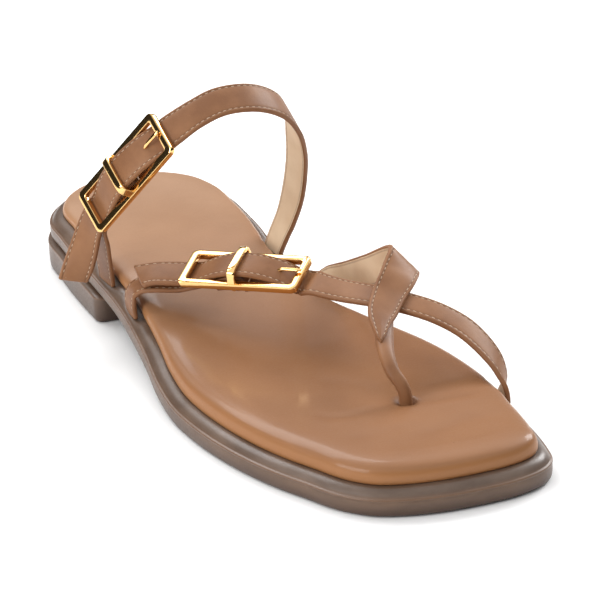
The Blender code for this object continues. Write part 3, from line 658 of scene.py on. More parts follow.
padPlan = {
    "edgeGap": 0.1,
    "thickness": ((0.0, 3.95), (60.0, 4.15), (110.0, 5.15), (160.0, 6.65), (200.0, 6.85), (257.0, 6.65)),
    # inset from the welt's inner edge, part of the thickness
    "section": ((2.0, 0.0), (0.5, 0.0), (0.18, 0.02), (0.02, 0.1), (-0.06, 0.22), (-0.02, 0.36),
                (0.16, 0.5), (0.56, 0.66), (1.3, 0.80), (2.5, 0.895), (4.1, 0.955), (6.2, 0.988),
                (8.6, 1.0), (11.0, 1.0)),
    "across": 50, "perSpan": 2,
    # where straps come out: lateral, along, half length, depth
    "notches": ((-18.6, 82.2, 5.8, 0.4), (-18.0, 114.2, 5.4, 0.5), (-36.5, 206.6, 5.2, 0.3),
                (33.0, 76.0, 5.6, 0.3), (35.0, 99.8, 5.0, 0.3)),
    "notchReach": 6.0, "notchFlat": 0.7, "notchFade": 0.55,
    # soft folds: width, depth, then the line they follow
    "folds": (
        (1.9, 0.19, ((-8.0, 208.4), (-13.0, 209.8), (-20.0, 211.2), (-31.0, 213.0))),
        (2.6, 0.10, ((-9.5, 201.0), (-16.0, 199.6), (-25.0, 199.9), (-34.0, 202.5))),
        (1.8, 0.15, ((-2.6, 206.6), (5.4, 206.3), (14.0, 207.0), (21.0, 205.0), (25.0, 197.0))),
        (2.8, 0.07, ((-4.5, 199.0), (0.3, 190.0), (6.0, 183.0), (16.0, 175.0))),
        (3.2, 0.07, ((6.0, 222.0), (16.0, 222.5), (27.0, 219.0))),
        (3.4, 0.07, ((-18.0, 226.0), (-6.0, 229.0), (8.0, 229.5))),
        (2.6, 0.12, ((31.0, 120.0), (22.0, 128.0), (12.0, 132.0))),
        (3.4, 0.08, ((-20.0, 150.0), (-8.0, 154.0), (6.0, 153.0))),
    ),
    # a raised bank on both sides of each fold: part of its depth, distance and width in fold widths
    "bank": (0.35, 2.2, 1.2), "foldTaper": 3.0,
    "seat": (0.5, 0.0, 44.0, 20.0, 34.0),      # depth, lateral, along, half width, half length
    "ball": (0.35, 2.0, 182.0, 30.0, 34.0),
    "topFrom": 12, "topRows": 9.0,      # where the rows of the section begin to take seat, ball and folds
    # the toe post's hole: place, depth and radius, then the shallow dip round it and the radius of the
    # painted shade round it
    "post": (-5.4, 206.4), "hole": (1.9, 2.9), "holeDip": (0.12, 6.5), "holeShadeRadius": 3.9,
    # the rim's orange tone, then the painted shade at the foot of the wall and in the folds
    "edgeFrom": 0.30, "edgeFade": 0.68, "footShade": 0.5, "footFade": 0.2, "foldShadeGain": 1.3,
    "steepest": 0.3, "topPart": 0.86, "smoothPasses": 6,
}


def foldsAt(point):
    # how deep the soft folds are at a point of the footbed, in millimetres
    depth = 0.0
    bank, bankFar, bankWide = padPlan["bank"]
    for width, amount, line in padPlan["folds"]:
        nearest = math.inf
        travelled = ends = 0.0
        total = sum(math.dist(a, b) for a, b in zip(line, line[1:]))
        for a, b in zip(line, line[1:]):
            length = math.dist(a, b)
            t = ((point.x - a[0]) * (b[0] - a[0]) + (point.y - a[1]) * (b[1] - a[1])) / length ** 2
            t = min(max(t, 0.0), 1.0)
            far = math.hypot(point.x - a[0] - (b[0] - a[0]) * t, point.y - a[1] - (b[1] - a[1]) * t)
            if far < nearest:
                nearest = far
                ends = (travelled + t * length) / total
            travelled += length
        fade = min(1.0, padPlan["foldTaper"] * (1.0 - ends))
        depth += amount * fade * math.exp(-(nearest / width) ** 2)
        depth -= bank * amount * fade * math.exp(-((nearest - bankFar * width) / (bankWide * width)) ** 2)
    return depth


def fromPost(point):
    return math.hypot(point.x - padPlan["post"][0], point.y - padPlan["post"][1])


def padPart(point):
    # height over the welt, as a part of the footbed's thickness
    return (point.z - weltTopAt(point.y)) / tableAt(padPlan["thickness"], point.y)


def drawIn(point):
    # the edge goes in a little where a strap comes out beside it
    reach = padPlan["notchReach"]
    for x, y, half, depth in padPlan["notches"]:
        if point.x * x > 0.0 and abs(point.x) > abs(x) - reach:
            beyond = abs(point.y - y) - half * padPlan["notchFlat"]
            part = 1.0 - softStep(beyond / (half * padPlan["notchFade"]))
            inward = min(1.0, (abs(point.x) - abs(x) + reach) / reach)
            point.x -= math.copysign(depth * part * softStep(inward), x)


def sinkTop(point, ease):
    # seat, ball, folds and the toe post's hole; gives back how deep the folds are
    fold = foldsAt(point)
    for dent, lateral, along, halfWide, halfLong in (padPlan["seat"], padPlan["ball"]):
        far = ((point.x - lateral) / halfWide) ** 2 + ((point.y - along) / halfLong) ** 2
        point.z -= dent * ease * math.exp(-far)
    point.z -= fold * ease
    far = fromPost(point)
    (hole, radius), (dip, dipRadius) = padPlan["hole"], padPlan["holeDip"]
    point.z -= hole * math.exp(-(far / radius) ** 6) + dip * math.exp(-(far / dipRadius) ** 2)
    return fold


def smoothTurned(bm):
    # cells of the top that turned over where sections crowd together are smoothed out
    bm.normal_update()
    for _ in range(padPlan["smoothPasses"]):
        turned = [face for face in bm.faces if face.normal.z < padPlan["steepest"]
                  and padPart(toShoe(face.calc_center_median())) > padPlan["topPart"]]
        if not turned:
            break
        near = {v for face in turned for v in face.verts}
        for _ in range(2):
            near |= {edge.other_vert(v) for v in list(near) for edge in v.link_edges}
        bmesh.ops.smooth_vert(bm, verts=list(near), factor=0.5, use_axis_x=True, use_axis_y=True,
                              use_axis_z=True)
        bm.normal_update()


def makePad():
    plan = padPlan
    rings, heights = [], []
    for inset, part in smoothRows(plan["section"], plan["perSpan"]):
        rings.append(insetOutline([solePlan["weltWidth"] + plan["edgeGap"] + inset] * len(ridge)))
        heights.append(lambda along, part=part: weltTopAt(along) + part * tableAt(plan["thickness"], along))
    depths = {}

    def key(point):
        return round(point.x, 3), round(point.y, 3)

    def shape(point, kind, value):
        if kind != "low":
            drawIn(point)
            if kind == "high" or value > plan["topFrom"]:
                ease = 1.0 if kind == "high" else softStep((value - plan["topFrom"]) / plan["topRows"])
                fold = sinkTop(point, ease)
                depths[key(point)] = fold
        return point

    def rimTone(cell, place):
        return 1.0 - softStep((padPart(toShoe(place)) - plan["edgeFrom"]) / plan["edgeFade"])

    # painted shade: darker in the folds, round the toe post's hole and at the foot of the wall
    def foldShade(cell, place):
        point = toShoe(place)
        fold = plan["foldShadeGain"] * max(0.0, depths.get(key(point), 0.0))
        foot = plan["footShade"] * (1.0 - softStep(padPart(point) / plan["footFade"]))
        return min(1.0, fold + math.exp(-(fromPost(point) / plan["holeShadeRadius"]) ** 8) + foot)

    bm = stationLoft(rings, heights, plan["across"], shape=shape,
                     paints={"rimTone": rimTone, "foldShade": foldShade})
    smoothTurned(bm)
    pad = finishPiece("footbedPad", bm, [padLeather], "footbed")


makeSole()
makeHeel()
print("sole and heel made")
makePad()
print("footbed made")


def turnedTo(place, x, y, z):
    return Matrix.Translation(place) @ Matrix((x, y, z)).transposed().to_4x4()


def framesAlong(rows, closed=False):
    # at each row of (place, side direction, ...): place, run, across, outward and the distance run
    count = len(rows)
    frames = []
    travel = 0.0
    for i, (place, side, *_) in enumerate(rows):
        ends = (i - 1, (i + 1) % count) if closed else (max(i - 1, 0), min(i + 1, count - 1))
        run = (rows[ends[1]][0] - rows[ends[0]][0]).normalized()
        across = (side - run * side.dot(run)).normalized()
        if i:
            travel += (place - rows[i - 1][0]).length
        frames.append({"place": place, "run": run, "across": across, "out": run.cross(across),
                       "far": travel})
    return frames


def sweptBar(rows, sectionAt, closed=False, paints=None):
    # section carried along rows of (place, side direction), all in millimetres and shoe axes
    frames = framesAlong(rows, closed)
    count, columns = len(rows), len(sectionAt(0))

    def placeAt(column, row):
        f = frames[row % count]
        a, b = sectionAt(row % count)[column % columns]
        return toFrame(f["place"] + f["across"] * a + f["out"] * b), (a, f["far"])

    return gridLoft(columns, count, placeAt, closedRows=closed, capEnds=not closed, paints=paints)


def roundedOutline(width, height, radius, steps=4):
    # closed outline of a rectangle with rounded corners, the same number of points at any size
    made = []
    for quarter, (sx, sy) in enumerate(((1, 1), (-1, 1), (-1, -1), (1, -1))):
        for k in range(steps + 1):
            angle = math.radians(90.0 * (quarter + k / steps))
            made.append((sx * (width / 2 - radius) + radius * math.cos(angle),
                         sy * (height / 2 - radius) + radius * math.sin(angle)))
    return made


# Each buckle has its own axes: x towards the strap's tail, y across the strap, z out of the face.
bucklePlan = {
    # place, then the directions of x and z
    "vamp": ((12.2, 130.2, 36.0), (0.64, -0.764, -0.083), (0.265, 0.118, 0.957)),
    "instep": ((37.3, 95.3, 62.7), (0.446, -0.453, -0.772), (0.895, 0.255, 0.367)),
    "length": 42.0, "width": 17.2, "bar": 2.5, "thick": 2.2, "outerCorner": 2.0, "innerCorner": 0.8,
    "bridgeX": 1.5, "bridgeWidth": 2.7, "bridgeThick": 1.3, "bevel": 0.32,
    "bridge": ((-7.7, -0.9), (-7.25, 1.0), (-6.8, 2.9), (-5.9, 3.85), (0.0, 3.95), (5.9, 3.85), (6.8, 2.9),
               (7.25, 1.0), (7.7, -0.9)),
    "bridgeRounding": 0.3, "pivotRadius": 1.1, "pivotZ": -2.4,
    "prongRadius": 0.62, "eyeRadius": 1.95, "eyeThick": 1.1, "eyeRounding": 0.4,
    "tipRows": 3, "tipLength": 3.2,
    "flatFrom": 0.6, "flatPart": 0.25, "frameSharp": 32.0, "prongSharp": 60.0,
    "prongPerSpan": 6, "barSteps": 6, "eyeSteps": 36,
    "prong": ((-0.45, -2.4), (-3.5, -2.35), (-8.3, -1.9), (-11.2, -0.4), (-13.6, 0.75), (-16.5, 1.0),
              (-20.4, 0.97)),
}


def buckleMatrix(name):
    place, alongX, alongZ = bucklePlan[name]
    x = Vector(alongX).normalized()
    z = Vector(alongZ)
    z = (z - x * z.dot(x)).normalized()
    return turnedTo(Vector(place), x, z.cross(x), z)


def makeFrameRing(turn):
    # flat faces, small bevels, outer and inner corners of their own
    plan = bucklePlan
    bevel, thick, bar = plan["bevel"], plan["thick"], plan["bar"]
    rounding = [(0.0, -bevel), (bevel * 0.3, -bevel * 0.3), (bevel, 0.0)]
    around = rounding + [(bar - edge, height) for edge, height in reversed(rounding)]
    around += [(bar - edge, -thick - height) for edge, height in rounding]
    around += [(edge, -thick - height) for edge, height in reversed(rounding)]
    outlines = []
    for edge, height in around:
        part = edge / bar
        radius = plan["outerCorner"] * (1.0 - part) + plan["innerCorner"] * part
        outlines.append([(x, y, height) for x, y in
                         roundedOutline(plan["length"] - 2 * edge, plan["width"] - 2 * edge, radius, 7)])
    count = len(outlines[0])

    def placeAt(column, row):
        point = Vector(outlines[row % len(outlines)][column % count])
        return toFrame(turn @ point), (column / count, row / len(outlines))

    return gridLoft(count, len(outlines), placeAt, closedRows=True)


def buckleBar(turn, places, side, sectionAt, closed=False):
    # a bar through places in the buckle's own axes
    across = turn.to_3x3() @ Vector(side)
    return sweptBar([(turn @ Vector(place), across) for place in places], sectionAt, closed)


def makeBuckle(label):
    plan = bucklePlan
    turn = buckleMatrix(label)
    alongX, alongY = (1.0, 0.0, 0.0), (0.0, 1.0, 0.0)
    middle, pivotZ = plan["bridgeX"], plan["pivotZ"]
    bm = makeFrameRing(turn)
    bridge = [(middle, y, z) for y, z in roundedCorners(list(plan["bridge"]), 2)]
    bridgeSection = roundedOutline(plan["bridgeWidth"], plan["bridgeThick"], plan["bridgeRounding"], 3)
    joinInto(bm, buckleBar(turn, bridge, alongX, lambda row: bridgeSection))
    half, pivot = (plan["width"] - plan["bar"]) / 2, plan["pivotRadius"]
    steps = plan["barSteps"]
    bar = [(middle, -half + 2 * half * k / steps, pivotZ) for k in range(steps + 1)]
    barSection = roundedOutline(2 * pivot, 2 * pivot, pivot - 0.01)
    joinInto(bm, buckleBar(turn, bar, alongX, lambda row: barSection))
    finishPiece(label + "BuckleFrame", bm, [polishedGold], label + "_buckle_frame",
                plan["frameSharp"])

    route = smoothRows(plan["prong"], plan["prongPerSpan"])
    last = len(route) - 1
    wire, eye = plan["prongRadius"], plan["eyeRadius"]

    def prongSection(row):
        # drawn out flatter towards the tip, which is rounded
        flat = plan["flatPart"] * softStep((row / last - plan["flatFrom"]) / (1.0 - plan["flatFrom"]))
        tip = math.sqrt(max(1.0 - (max(row - last + plan["tipRows"], 0) / plan["tipLength"]) ** 2, 0.08))
        return [(a * tip * (1.0 + flat), b * tip * (1.0 - flat))
                for a, b in roundedOutline(2 * wire, 2 * wire, wire - 0.01, 3)]

    bm = buckleBar(turn, [(x, 0.0, z) for x, z in route], alongY, prongSection)
    ring = [(middle + eye * math.cos(angle), 0.0, pivotZ + eye * math.sin(angle))
            for angle in (math.radians(360.0 * k / plan["eyeSteps"]) for k in range(plan["eyeSteps"]))]
    eyeSection = roundedOutline(2 * wire, plan["eyeThick"], plan["eyeRounding"], 3)
    joinInto(bm, buckleBar(turn, ring, alongY, lambda row: eyeSection, closed=True))
    finishPiece(label + "BuckleProng", bm, [polishedGold], label + "_buckle_prong",
                plan["prongSharp"])


for label in ("vamp", "instep"):
    makeBuckle(label)
print("buckles made")


strapPlan = {
    "thick": 1.8, "anchorThick": 1.6, "perSpan": 9,
    "stitchFromEdge": 1.2, "stitchPitch": 2.1, "stitchLength": 1.35, "stitchRadius": 0.17,
    "stitchFace": 0.86, "stitchSink": 0.04, "stitchFromEnd": 0.5, "stitchStart": 6.0, "stitchStop": 0.8,
    "medialStop": 0.6, "endSteps": 5, "endTurn": 22.0,
    # free rows: (lateral, along, height), direction of the strap's left-hand edge, width
    "medial": (
        (-21.7, 114.2, 12.9, 0.0, 0.99, -0.13, 9.8), (-22.5, 114.7, 14.6, 0.0, 0.98, -0.18, 10.0),
        (-23.8, 115.9, 16.7, 0.01, 0.94, -0.3, 10.2), (-25.3, 118.2, 18.8, 0.02, 0.88, -0.45, 10.2),
        (-26.4, 122.2, 20.8, 0.02, 0.8, -0.58, 10.2), (-26.9, 130.0, 24.6, -0.06, 0.62, -0.78, 10.4),
        (-27.4, 145.0, 32.3, -0.2, 0.42, -0.88, 11.4), (-30.3, 159.4, 40.5, -0.53, 0.38, -0.755, 12.8),
        (-24.8, 167.6, 40.0, -0.72, 0.54, -0.42, 12.2), (-17.8, 173.7, 36.9, -0.73, 0.6, -0.3, 11.0),
        (-12.2, 179.6, 34.7, -0.71, 0.64, -0.28, 9.9), (-9.0, 183.8, 33.6, -0.7, 0.65, -0.28, 7.8),
        (-6.8, 187.6, 32.5, -0.71, 0.64, -0.31, 5.2), (-5.2, 190.5, 31.4, -0.71, 0.64, -0.31, 2.8),
        (-4.5, 192.0, 30.7, -0.71, 0.64, -0.31, 0.9)),
    "forefoot": (
        (-40.2, 206.6, 7.5, 0.12, 0.99, 0.0, 9.8), (-40.8, 206.2, 10.4, 0.3, 0.95, -0.05, 9.8),
        (-41.3, 204.5, 14.4, 0.56, 0.83, 0.0, 9.8), (-40.5, 201.0, 19.3, 0.62, 0.77, -0.13, 9.8),
        (-38.0, 195.6, 24.3, 0.59, 0.77, -0.24, 9.8),
        (-34.1, 189.7, 28.6, 0.67, 0.71, -0.22, 9.8), (-27.1, 182.2, 32.4, 0.74, 0.65, -0.2, 9.8),
        (-17.8, 171.3, 34.3, 0.75, 0.62, -0.23, 9.8), (-8.6, 158.6, 34.4, 0.73, 0.62, -0.29, 10.0),
        (-3.9, 150.9, 34.7, 0.72, 0.63, -0.28, 10.4)),
    "forefootTail": (
        (32.4, 107.4, 30.4, 0.62, 0.74, -0.27, 11.2), (36.8, 103.3, 28.9, 0.5, 0.82, -0.28, 11.4)),
    "instep": (
        (-22.8, 82.2, 16.7, 0.0, 1.0, -0.06, 11.0), (-23.4, 82.3, 18.6, 0.01, 1.0, -0.06, 11.2),
        (-24.5, 82.6, 21.4, 0.02, 1.0, -0.08, 11.4), (-25.9, 83.2, 25.0, 0.02, 0.99, -0.1, 11.5),
        (-27.2, 84.5, 29.6, 0.0, 0.98, -0.17, 11.5), (-28.4, 87.5, 39.1, -0.1, 0.96, -0.25, 11.5),
        (-28.1, 91.0, 49.8, -0.12, 0.95, -0.28, 11.5), (-26.0, 95.4, 59.9, -0.12, 0.94, -0.31, 11.5),
        (-22.2, 100.4, 69.8, 0.02, 0.92, -0.38, 11.5), (-15.4, 104.6, 78.6, 0.12, 0.88, -0.46, 11.5),
        (-5.3, 106.2, 83.9, 0.12, 0.85, -0.5, 11.5), (6.1, 105.6, 84.8, 0.06, 0.87, -0.48, 11.5),
        (15.6, 104.9, 82.0, 0.04, 0.87, -0.49, 11.2)),
    "instepTail": (
        (44.5, 81.9, 39.4, -0.2, 0.9, -0.38, 11.2), (46.8, 80.3, 30.4, -0.48, 0.84, -0.24, 11.0),
        (49.7, 78.7, 21.6, -0.8, 0.5, -0.3, 9.8)),
    # the anchors leave the sole square to its edge and turn as they come over to their buckle
    "vampAnchor": (
        (38.6, 99.8, 14.5, -0.12, -0.99, 0.1, 8.8), (38.9, 99.8, 16.3, -0.12, -0.99, 0.1, 9.0),
        (39.1, 99.8, 18.6, -0.15, -0.98, 0.08, 9.4), (38.9, 100.1, 21.2, -0.2, -0.97, 0.06, 9.9),
        (37.9, 101.0, 23.6, -0.35, -0.93, 0.06, 10.3), (35.6, 103.1, 25.5, -0.52, -0.84, 0.1, 10.6),
        (32.4, 106.3, 26.6, -0.68, -0.73, 0.15, 10.6)),
    "instepAnchor": (
        (36.3, 76.0, 16.8, 0.0, -1.0, 0.04, 10.4), (36.5, 76.1, 18.8, 0.0, -1.0, 0.05, 10.5),
        (36.9, 76.5, 21.4, 0.0, -1.0, 0.07, 10.7), (37.7, 77.5, 25.0, 0.0, -0.99, 0.1, 10.9),
        (38.8, 79.2, 29.8, 0.0, -0.98, 0.16, 11.0), (40.0, 81.0, 35.5, 0.02, -0.93, 0.3, 11.0)),
    # (x, z) rows in a buckle's axes: strap through the frame, anchor to the bar and back, backing
    "inBuckle": ((-21.5, -4.3), (-18.0, -3.5), (-14.5, -1.6), (-11.3, -0.1), (-7.5, 1.0), (-3.0, 1.7),
                 (1.5, 1.8), (5.0, 1.4), (9.0, 0.3), (13.0, -1.4), (17.0, -3.15), (21.0, -3.6)),
    "vampWidth": 11.3, "instepWidth": 11.7,
    "toPivot": ((23.5, -6.9), (18.5, -5.6), (13.0, -4.0), (8.0, -2.1), (4.4, -0.75)),
    "foldBack": ((5.0, -4.45), (8.5, -4.9)),
    "backing": ((-1.4, -4.7), (-4.0, -4.3), (-8.0, -4.05), (-12.0, -4.0), (-14.8, -4.3)),
    "backingThick": 1.1, "backingWidth": 11.2,
    "loopGap": 0.3, "loopSteps": 6, "anchorStitchStart": 4.0, "anchorStitchStop": 22.0,
    "forefootSlant": -0.50, "instepSlant": -0.24, "slantLength": 9.0,
}


# the strap's section: distance from its edge, then how far its face stands from the middle of the strap
strapSection = {
    "grain": ((0.0, 0.0), (0.07, 0.42), (0.26, 0.74), (0.58, 0.90), (0.92, 0.88), (1.2, 0.74), (1.5, 0.86),
              (2.1, 0.94), (3.3, 1.0)),
    "lining": ((0.07, 0.42), (0.26, 0.72), (0.6, 0.84), (0.95, 0.83), (1.2, 0.77), (1.5, 0.82),
               (2.8, 0.86)),
    "grainMiddle": 1.02, "liningMiddle": 0.87, "middleFromEdge": 9.0,
    "liningFrom": 0.55, "fullHalfWidth": 3.6,
}


def inBuckle(name, route, width, direction=1.0):
    turn = buckleMatrix(name)
    side = turn.to_3x3() @ Vector((0.0, direction, 0.0))
    return [(*(turn @ Vector((x, 0.0, z))), *side, width) for x, z in route]


def strapFrames(table, perSpan, slant):
    # fine rows of a strap, with its width and how much its end is cut at a slant
    rows = [(Vector(row[0:3]), Vector(row[3:6]), row[6]) for row in smoothRows(table, perSpan)]
    frames = framesAlong(rows)
    for f, (_, _, width) in zip(frames, rows):
        left = (frames[-1]["far"] - f["far"]) / strapPlan["slantLength"]
        f["width"] = width
        f["slant"] = slant * (1.0 - softStep(left))
    return frames


def makeStrap(name, table, thick, node, slant=0.0, liningToo=True, perSpan=None):
    frames = strapFrames(table, perSpan or strapPlan["perSpan"], slant)
    half = thick / 2
    rings = [(f["place"], f, f["width"] / 2, 1.0, f["far"]) for f in frames]
    # the end edge is turned under: a quarter round in length, width and thickness
    end = frames[-1]
    for k in range(1, strapPlan["endSteps"]):
        angle = math.radians(strapPlan["endTurn"] * k)
        place = end["place"] + end["run"] * half * math.sin(angle)
        shrink = half * (1.0 - math.cos(angle))
        rings.append((place, end, max(end["width"] / 2 - shrink, 0.2), max(math.cos(angle), 0.05),
                      end["far"] + half * math.sin(angle)))
    scale = thick / strapPlan["thick"]
    grain, lining = strapSection["grain"], strapSection["lining"]
    middle = strapSection["middleFromEdge"]
    steps = [(1.0, e, b) for e, b in grain] + [(0.0, middle, strapSection["grainMiddle"])]
    steps += [(-1.0, e, b) for e, b in reversed(grain)]
    steps += [(-1.0, e, -b) for e, b in lining] + [(0.0, middle, -strapSection["liningMiddle"])]
    steps += [(1.0, e, -b) for e, b in reversed(lining)]
    count = len(steps)

    def placeAt(column, row):
        place, f, w, flat, far = rings[row]
        sign, e, b = steps[column % count]
        a = sign * (w - e * min(1.0, w / strapSection["fullHalfWidth"]))
        return toFrame(place + f["across"] * a + f["run"] * a * f["slant"]
                       + f["out"] * b * flat * scale), (a, far)

    def fromEdge(cell, place):
        return steps[cell[0] % count][1]

    def materialAt(column, row):
        a, b = steps[column % count], steps[(column + 1) % count]
        inside = a[2] < 0.0 and b[2] < 0.0 and min(a[1], b[1]) > strapSection["liningFrom"]
        return 1 if inside and liningToo else 0

    bm = gridLoft(count, len(rings), placeAt, capEnds=True, paints={"fromEdge": fromEdge},
                  materialAt=materialAt)
    finishPiece(name, bm, [strapLeather, strapLining], node)
    return frames


def addStitch(bm, place, run, out):
    # one stitch of thread, a long bead lying along its run
    plan = strapPlan
    side = out.cross(run).normalized()
    up = run.cross(side).normalized()
    radius = plan["stitchRadius"]
    shape = turnedTo(place, run * plan["stitchLength"] / 2, side * radius, up * radius)
    bmesh.ops.create_uvsphere(bm, u_segments=6, v_segments=5, radius=1.0, matrix=shoeToFrame @ shape)


def stitchHeight(thick):
    return thick / 2 * strapPlan["stitchFace"] - strapPlan["stitchSink"]


def stitchRun(frames, thick, start, stop):
    # one row of stitches near each edge, on both faces, from a start to a distance short of the end
    plan = strapPlan
    end = frames[-1]["far"] - stop
    bm = bmesh.new()
    for sign in (1.0, -1.0):
        goal = start
        for a, b in zip(frames, frames[1:]):
            while a["far"] <= goal < b["far"] and goal < end:
                t = (goal - a["far"]) / (b["far"] - a["far"])
                width = a["width"] + (b["width"] - a["width"]) * t
                room = min(1.0, width / (2 * strapSection["fullHalfWidth"]))
                offset = sign * (width / 2 - plan["stitchFromEdge"] * room)
                across = a["across"].lerp(b["across"], t)
                out = a["out"].lerp(b["out"], t)
                middle = a["place"].lerp(b["place"], t) + a["run"] * offset * a["slant"]
                narrowing = (b["width"] - a["width"]) / max(b["far"] - a["far"], 0.01) * sign * 0.5
                run = (a["run"] + across * narrowing).normalized()
                for face in (1.0, -1.0):
                    place = middle + across * offset + out * face * stitchHeight(thick)
                    addStitch(bm, place, run, out * face)
                goal += plan["stitchPitch"]
    joinInto(thread, bm)


def endStitches(frames, thick):
    # across the tail, just inside its end
    plan = strapPlan
    end = frames[-1]
    bm = bmesh.new()
    wide = end["width"] - 2 * plan["stitchFromEdge"]
    count = int(wide / plan["stitchPitch"])
    run = (end["across"] + end["run"] * end["slant"]).normalized()
    for k in range(count):
        a = -wide / 2 + wide * (k + 0.5) / count
        place = (end["place"] - end["run"] * (plan["stitchFromEnd"] - a * end["slant"]) + end["across"] * a
                 + end["out"] * stitchHeight(thick))
        addStitch(bm, place, run, end["out"])
    joinInto(thread, bm)


thread = bmesh.new()
thick, stitchStart = strapPlan["thick"], strapPlan["stitchStart"]
frames = makeStrap("medialStrap", strapPlan["medial"], thick, "cross_straps")
stitchRun(frames, thick, stitchStart, strapPlan["medialStop"])

buckledFrames = {}
for label, name, node in (("vamp", "forefoot", "cross_straps"), ("instep", "instep", "instep_strap")):
    table = (list(strapPlan[name]) + inBuckle(label, strapPlan["inBuckle"], strapPlan[label + "Width"])
             + list(strapPlan[name + "Tail"]))
    frames = makeStrap(name + "Strap", table, thick, node, slant=strapPlan[name + "Slant"])
    stitchRun(frames, thick, stitchStart, strapPlan["stitchStop"])
    endStitches(frames, thick)
    buckledFrames[label] = frames
print("straps made")


def loopRoute():
    # half round the centre bar
    plan = bucklePlan
    radius = plan["pivotRadius"] + strapPlan["loopGap"] + strapPlan["anchorThick"] / 2
    steps = strapPlan["loopSteps"]
    return [(plan["bridgeX"] + radius * math.cos(angle), plan["pivotZ"] + radius * math.sin(angle))
            for angle in (math.radians(90.0 + 180.0 * k / steps) for k in range(steps + 1))]


for label in ("vamp", "instep"):
    node, anchorThick = label + "_anchor_strap", strapPlan["anchorThick"]
    free = list(strapPlan[label + "Anchor"])
    route = list(strapPlan["toPivot"]) + loopRoute() + list(strapPlan["foldBack"])
    table = free + inBuckle(label, route, free[-1][6], -1.0)
    # the anchor's inner face keeps the darker grain leather, not the pale lining: painted shade inside the
    # loop
    frames = makeStrap(label + "AnchorStrap", table, anchorThick, node, liningToo=False)
    stitchRun(frames, anchorThick, strapPlan["anchorStitchStart"], strapPlan["anchorStitchStop"])
    backing = inBuckle(label, strapPlan["backing"], strapPlan["backingWidth"], -1.0)
    makeStrap(label + "BuckleBacking", backing, strapPlan["backingThick"], node, liningToo=False, perSpan=4)
print("anchor straps made")

finishPiece("strapStitching", thread, [sewingThread])


postPlan = {
    "rows": (  # lateral, along, height, half width, half depth
        (-13.2, 179.6, 32.4, 2.6, 0.8), (-10.6, 183.2, 31.2, 3.0, 1.1), (-7.9, 188.0, 30.0, 3.0, 1.5),
        (-5.2, 193.6, 28.4, 2.75, 1.8), (-3.6, 198.4, 26.4, 2.45, 1.95), (-3.3, 202.1, 23.9, 2.25, 2.0),
        (-4.4, 205.0, 21.0, 2.15, 2.0), (-5.1, 206.3, 17.9, 2.1, 2.05), (-5.4, 206.4, 14.2, 2.1, 2.1),
        (-5.4, 206.3, 11.5, 2.1, 2.1)),
    "side": (0.7, -0.6, 0.3), "roundness": 0.85, "sides": 28, "perSpan": 8, "fromEdge": 3.0,
}


def makePost():
    plan = postPlan
    points = smoothRows(plan["rows"], plan["perSpan"])

    def section(row):
        _, _, _, w, d = points[row]
        made = []
        for k in range(plan["sides"]):
            angle = math.radians(360.0 * k / plan["sides"])
            made.append((w * math.copysign(abs(math.cos(angle)) ** plan["roundness"], math.cos(angle)),
                         d * math.copysign(abs(math.sin(angle)) ** plan["roundness"], math.sin(angle))))
        return made

    bm = sweptBar([(Vector(p[0:3]), Vector(plan["side"])) for p in points], section,
                  paints={"fromEdge": lambda cell, place: plan["fromEdge"]})
    finishPiece("toePost", bm, [strapLeather], "cross_straps")


makePost()

holePlan = {
    "radius": 0.85, "innerRadius": 0.7, "depth": 0.14, "prongAt": -11.0,
    "vamp": (0.0, -15.0), "instep": (0.0, 6.5, -12.0),      # distances from the prong's own hole
}


def punchHole(bm, frames, far):
    # a small hole in the middle of a strap, shown as a dark disc on each face: painted shade of its depth
    f = min(frames, key=lambda item: abs(item["far"] - far))
    for face, stand in ((1.0, strapSection["grainMiddle"]), (-1.0, strapSection["liningMiddle"])):
        out = f["out"] * face
        side = out.cross(f["run"]).normalized()
        turn = turnedTo(f["place"] + out * (strapPlan["thick"] / 2 * stand), f["run"], side, out)
        bmesh.ops.create_cone(bm, cap_ends=True, segments=16, radius1=holePlan["radius"],
                              radius2=holePlan["innerRadius"], depth=holePlan["depth"],
                              matrix=shoeToFrame @ turn)


holes = bmesh.new()
for label, frames in buckledFrames.items():
    prong = buckleMatrix(label) @ Vector((holePlan["prongAt"], 0.0, 0.0))
    prongFar = min(frames, key=lambda f: (f["place"] - prong).length)["far"]
    for step in holePlan[label]:
        punchHole(holes, frames, prongFar + step)
finishPiece("punchedHoleShades", holes, [punchedHoleShade])
print("stitches, toe post and holes made")


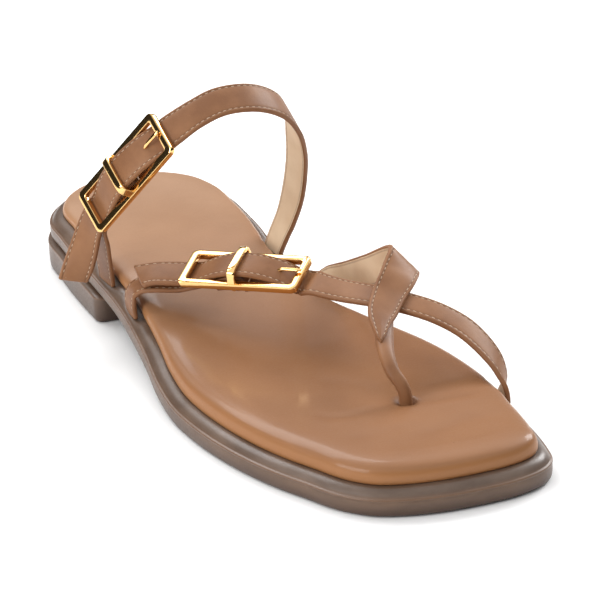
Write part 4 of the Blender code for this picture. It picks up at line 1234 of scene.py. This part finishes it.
studio = {
    "camera": (-0.6175, -1.2360, 0.6393), "target": (0.00887, -0.00790, 0.02327), "roll": -1.679,
    "lens": 278.0, "sensor": 36.0, "seesTo": 20.0,
    "paper": {"Base Color": (0.93, 0.93, 0.93, 1.0), "Roughness": 0.9, "Specular IOR Level": 0.1},
    "floorSize": 3.0, "floorDrop": 0.0002,
    "air": 1.12, "airLow": 0.03, "darkBelow": 0.38, "brightAbove": 0.60,
    "back": ((-0.15, 0.85, 1.0), (1.2, 0.45), 9.0),     # place, size, power
    "key": ((1.02, 0.36, 0.62), (0.55, 0.45), 10.0),
    "fill": ((-1.28, -0.18, 0.5), (0.75, 0.6), 9.5),
}


def makeFloor():
    bm = bmesh.new()
    bmesh.ops.create_grid(bm, x_segments=1, y_segments=1, size=studio["floorSize"])
    bmesh.ops.translate(bm, vec=(0.0, 0.0, -studio["floorDrop"]), verts=bm.verts[:])
    meshObject("studioFloor", bm, [newMaterial("floorPaper", studio["paper"])[0]])


def softLight(name, place, size, power):
    lamp = bpy.data.lights.new(name, "AREA")
    lamp.shape = "RECTANGLE"
    lamp.size, lamp.size_y = size
    lamp.energy = power
    made = intoScene(name, lamp)
    made.location = place
    made.rotation_euler = (-Vector(place)).to_track_quat("-Z", "Y").to_euler()


def makeAir():
    # bright overhead, dim near the horizon, so polished metal has something to show
    world = bpy.data.worlds.new("studioAir")
    bpy.context.scene.world = world
    world.use_nodes = True
    tree = world.node_tree
    place = addNode(tree, "ShaderNodeTexCoord").outputs["Generated"]
    split = addNode(tree, "ShaderNodeSeparateXYZ", {"Vector": place})
    rise = mapRange(tree, split.outputs["Z"], studio["darkBelow"], studio["brightAbove"])
    air = tree.nodes["Background"].inputs
    tree.links.new(mixColour(tree, rise, (studio["airLow"],) * 3, (1.0, 1.0, 1.0)), air["Color"])
    air["Strength"].default_value = studio["air"]


def makeStudio():
    makeFloor()
    makeAir()
    for label in ("back", "key", "fill"):
        softLight(label + "Box", *studio[label])
    camera = bpy.data.cameras.new("studioCamera")
    camera.lens = studio["lens"]
    camera.sensor_width = studio["sensor"]
    camera.clip_end = studio["seesTo"]
    made = intoScene("studioCamera", camera)
    look = Vector(studio["target"]) - Vector(studio["camera"])
    turn = look.to_track_quat("-Z", "Y").to_matrix() @ Matrix.Rotation(math.radians(studio["roll"]), 3, "Z")
    made.matrix_world = Matrix.Translation(Vector(studio["camera"])) @ turn.to_4x4()
    bpy.context.scene.camera = made
    bpy.context.scene.view_settings.view_transform = "Standard"


makeStudio()
print("studio made")
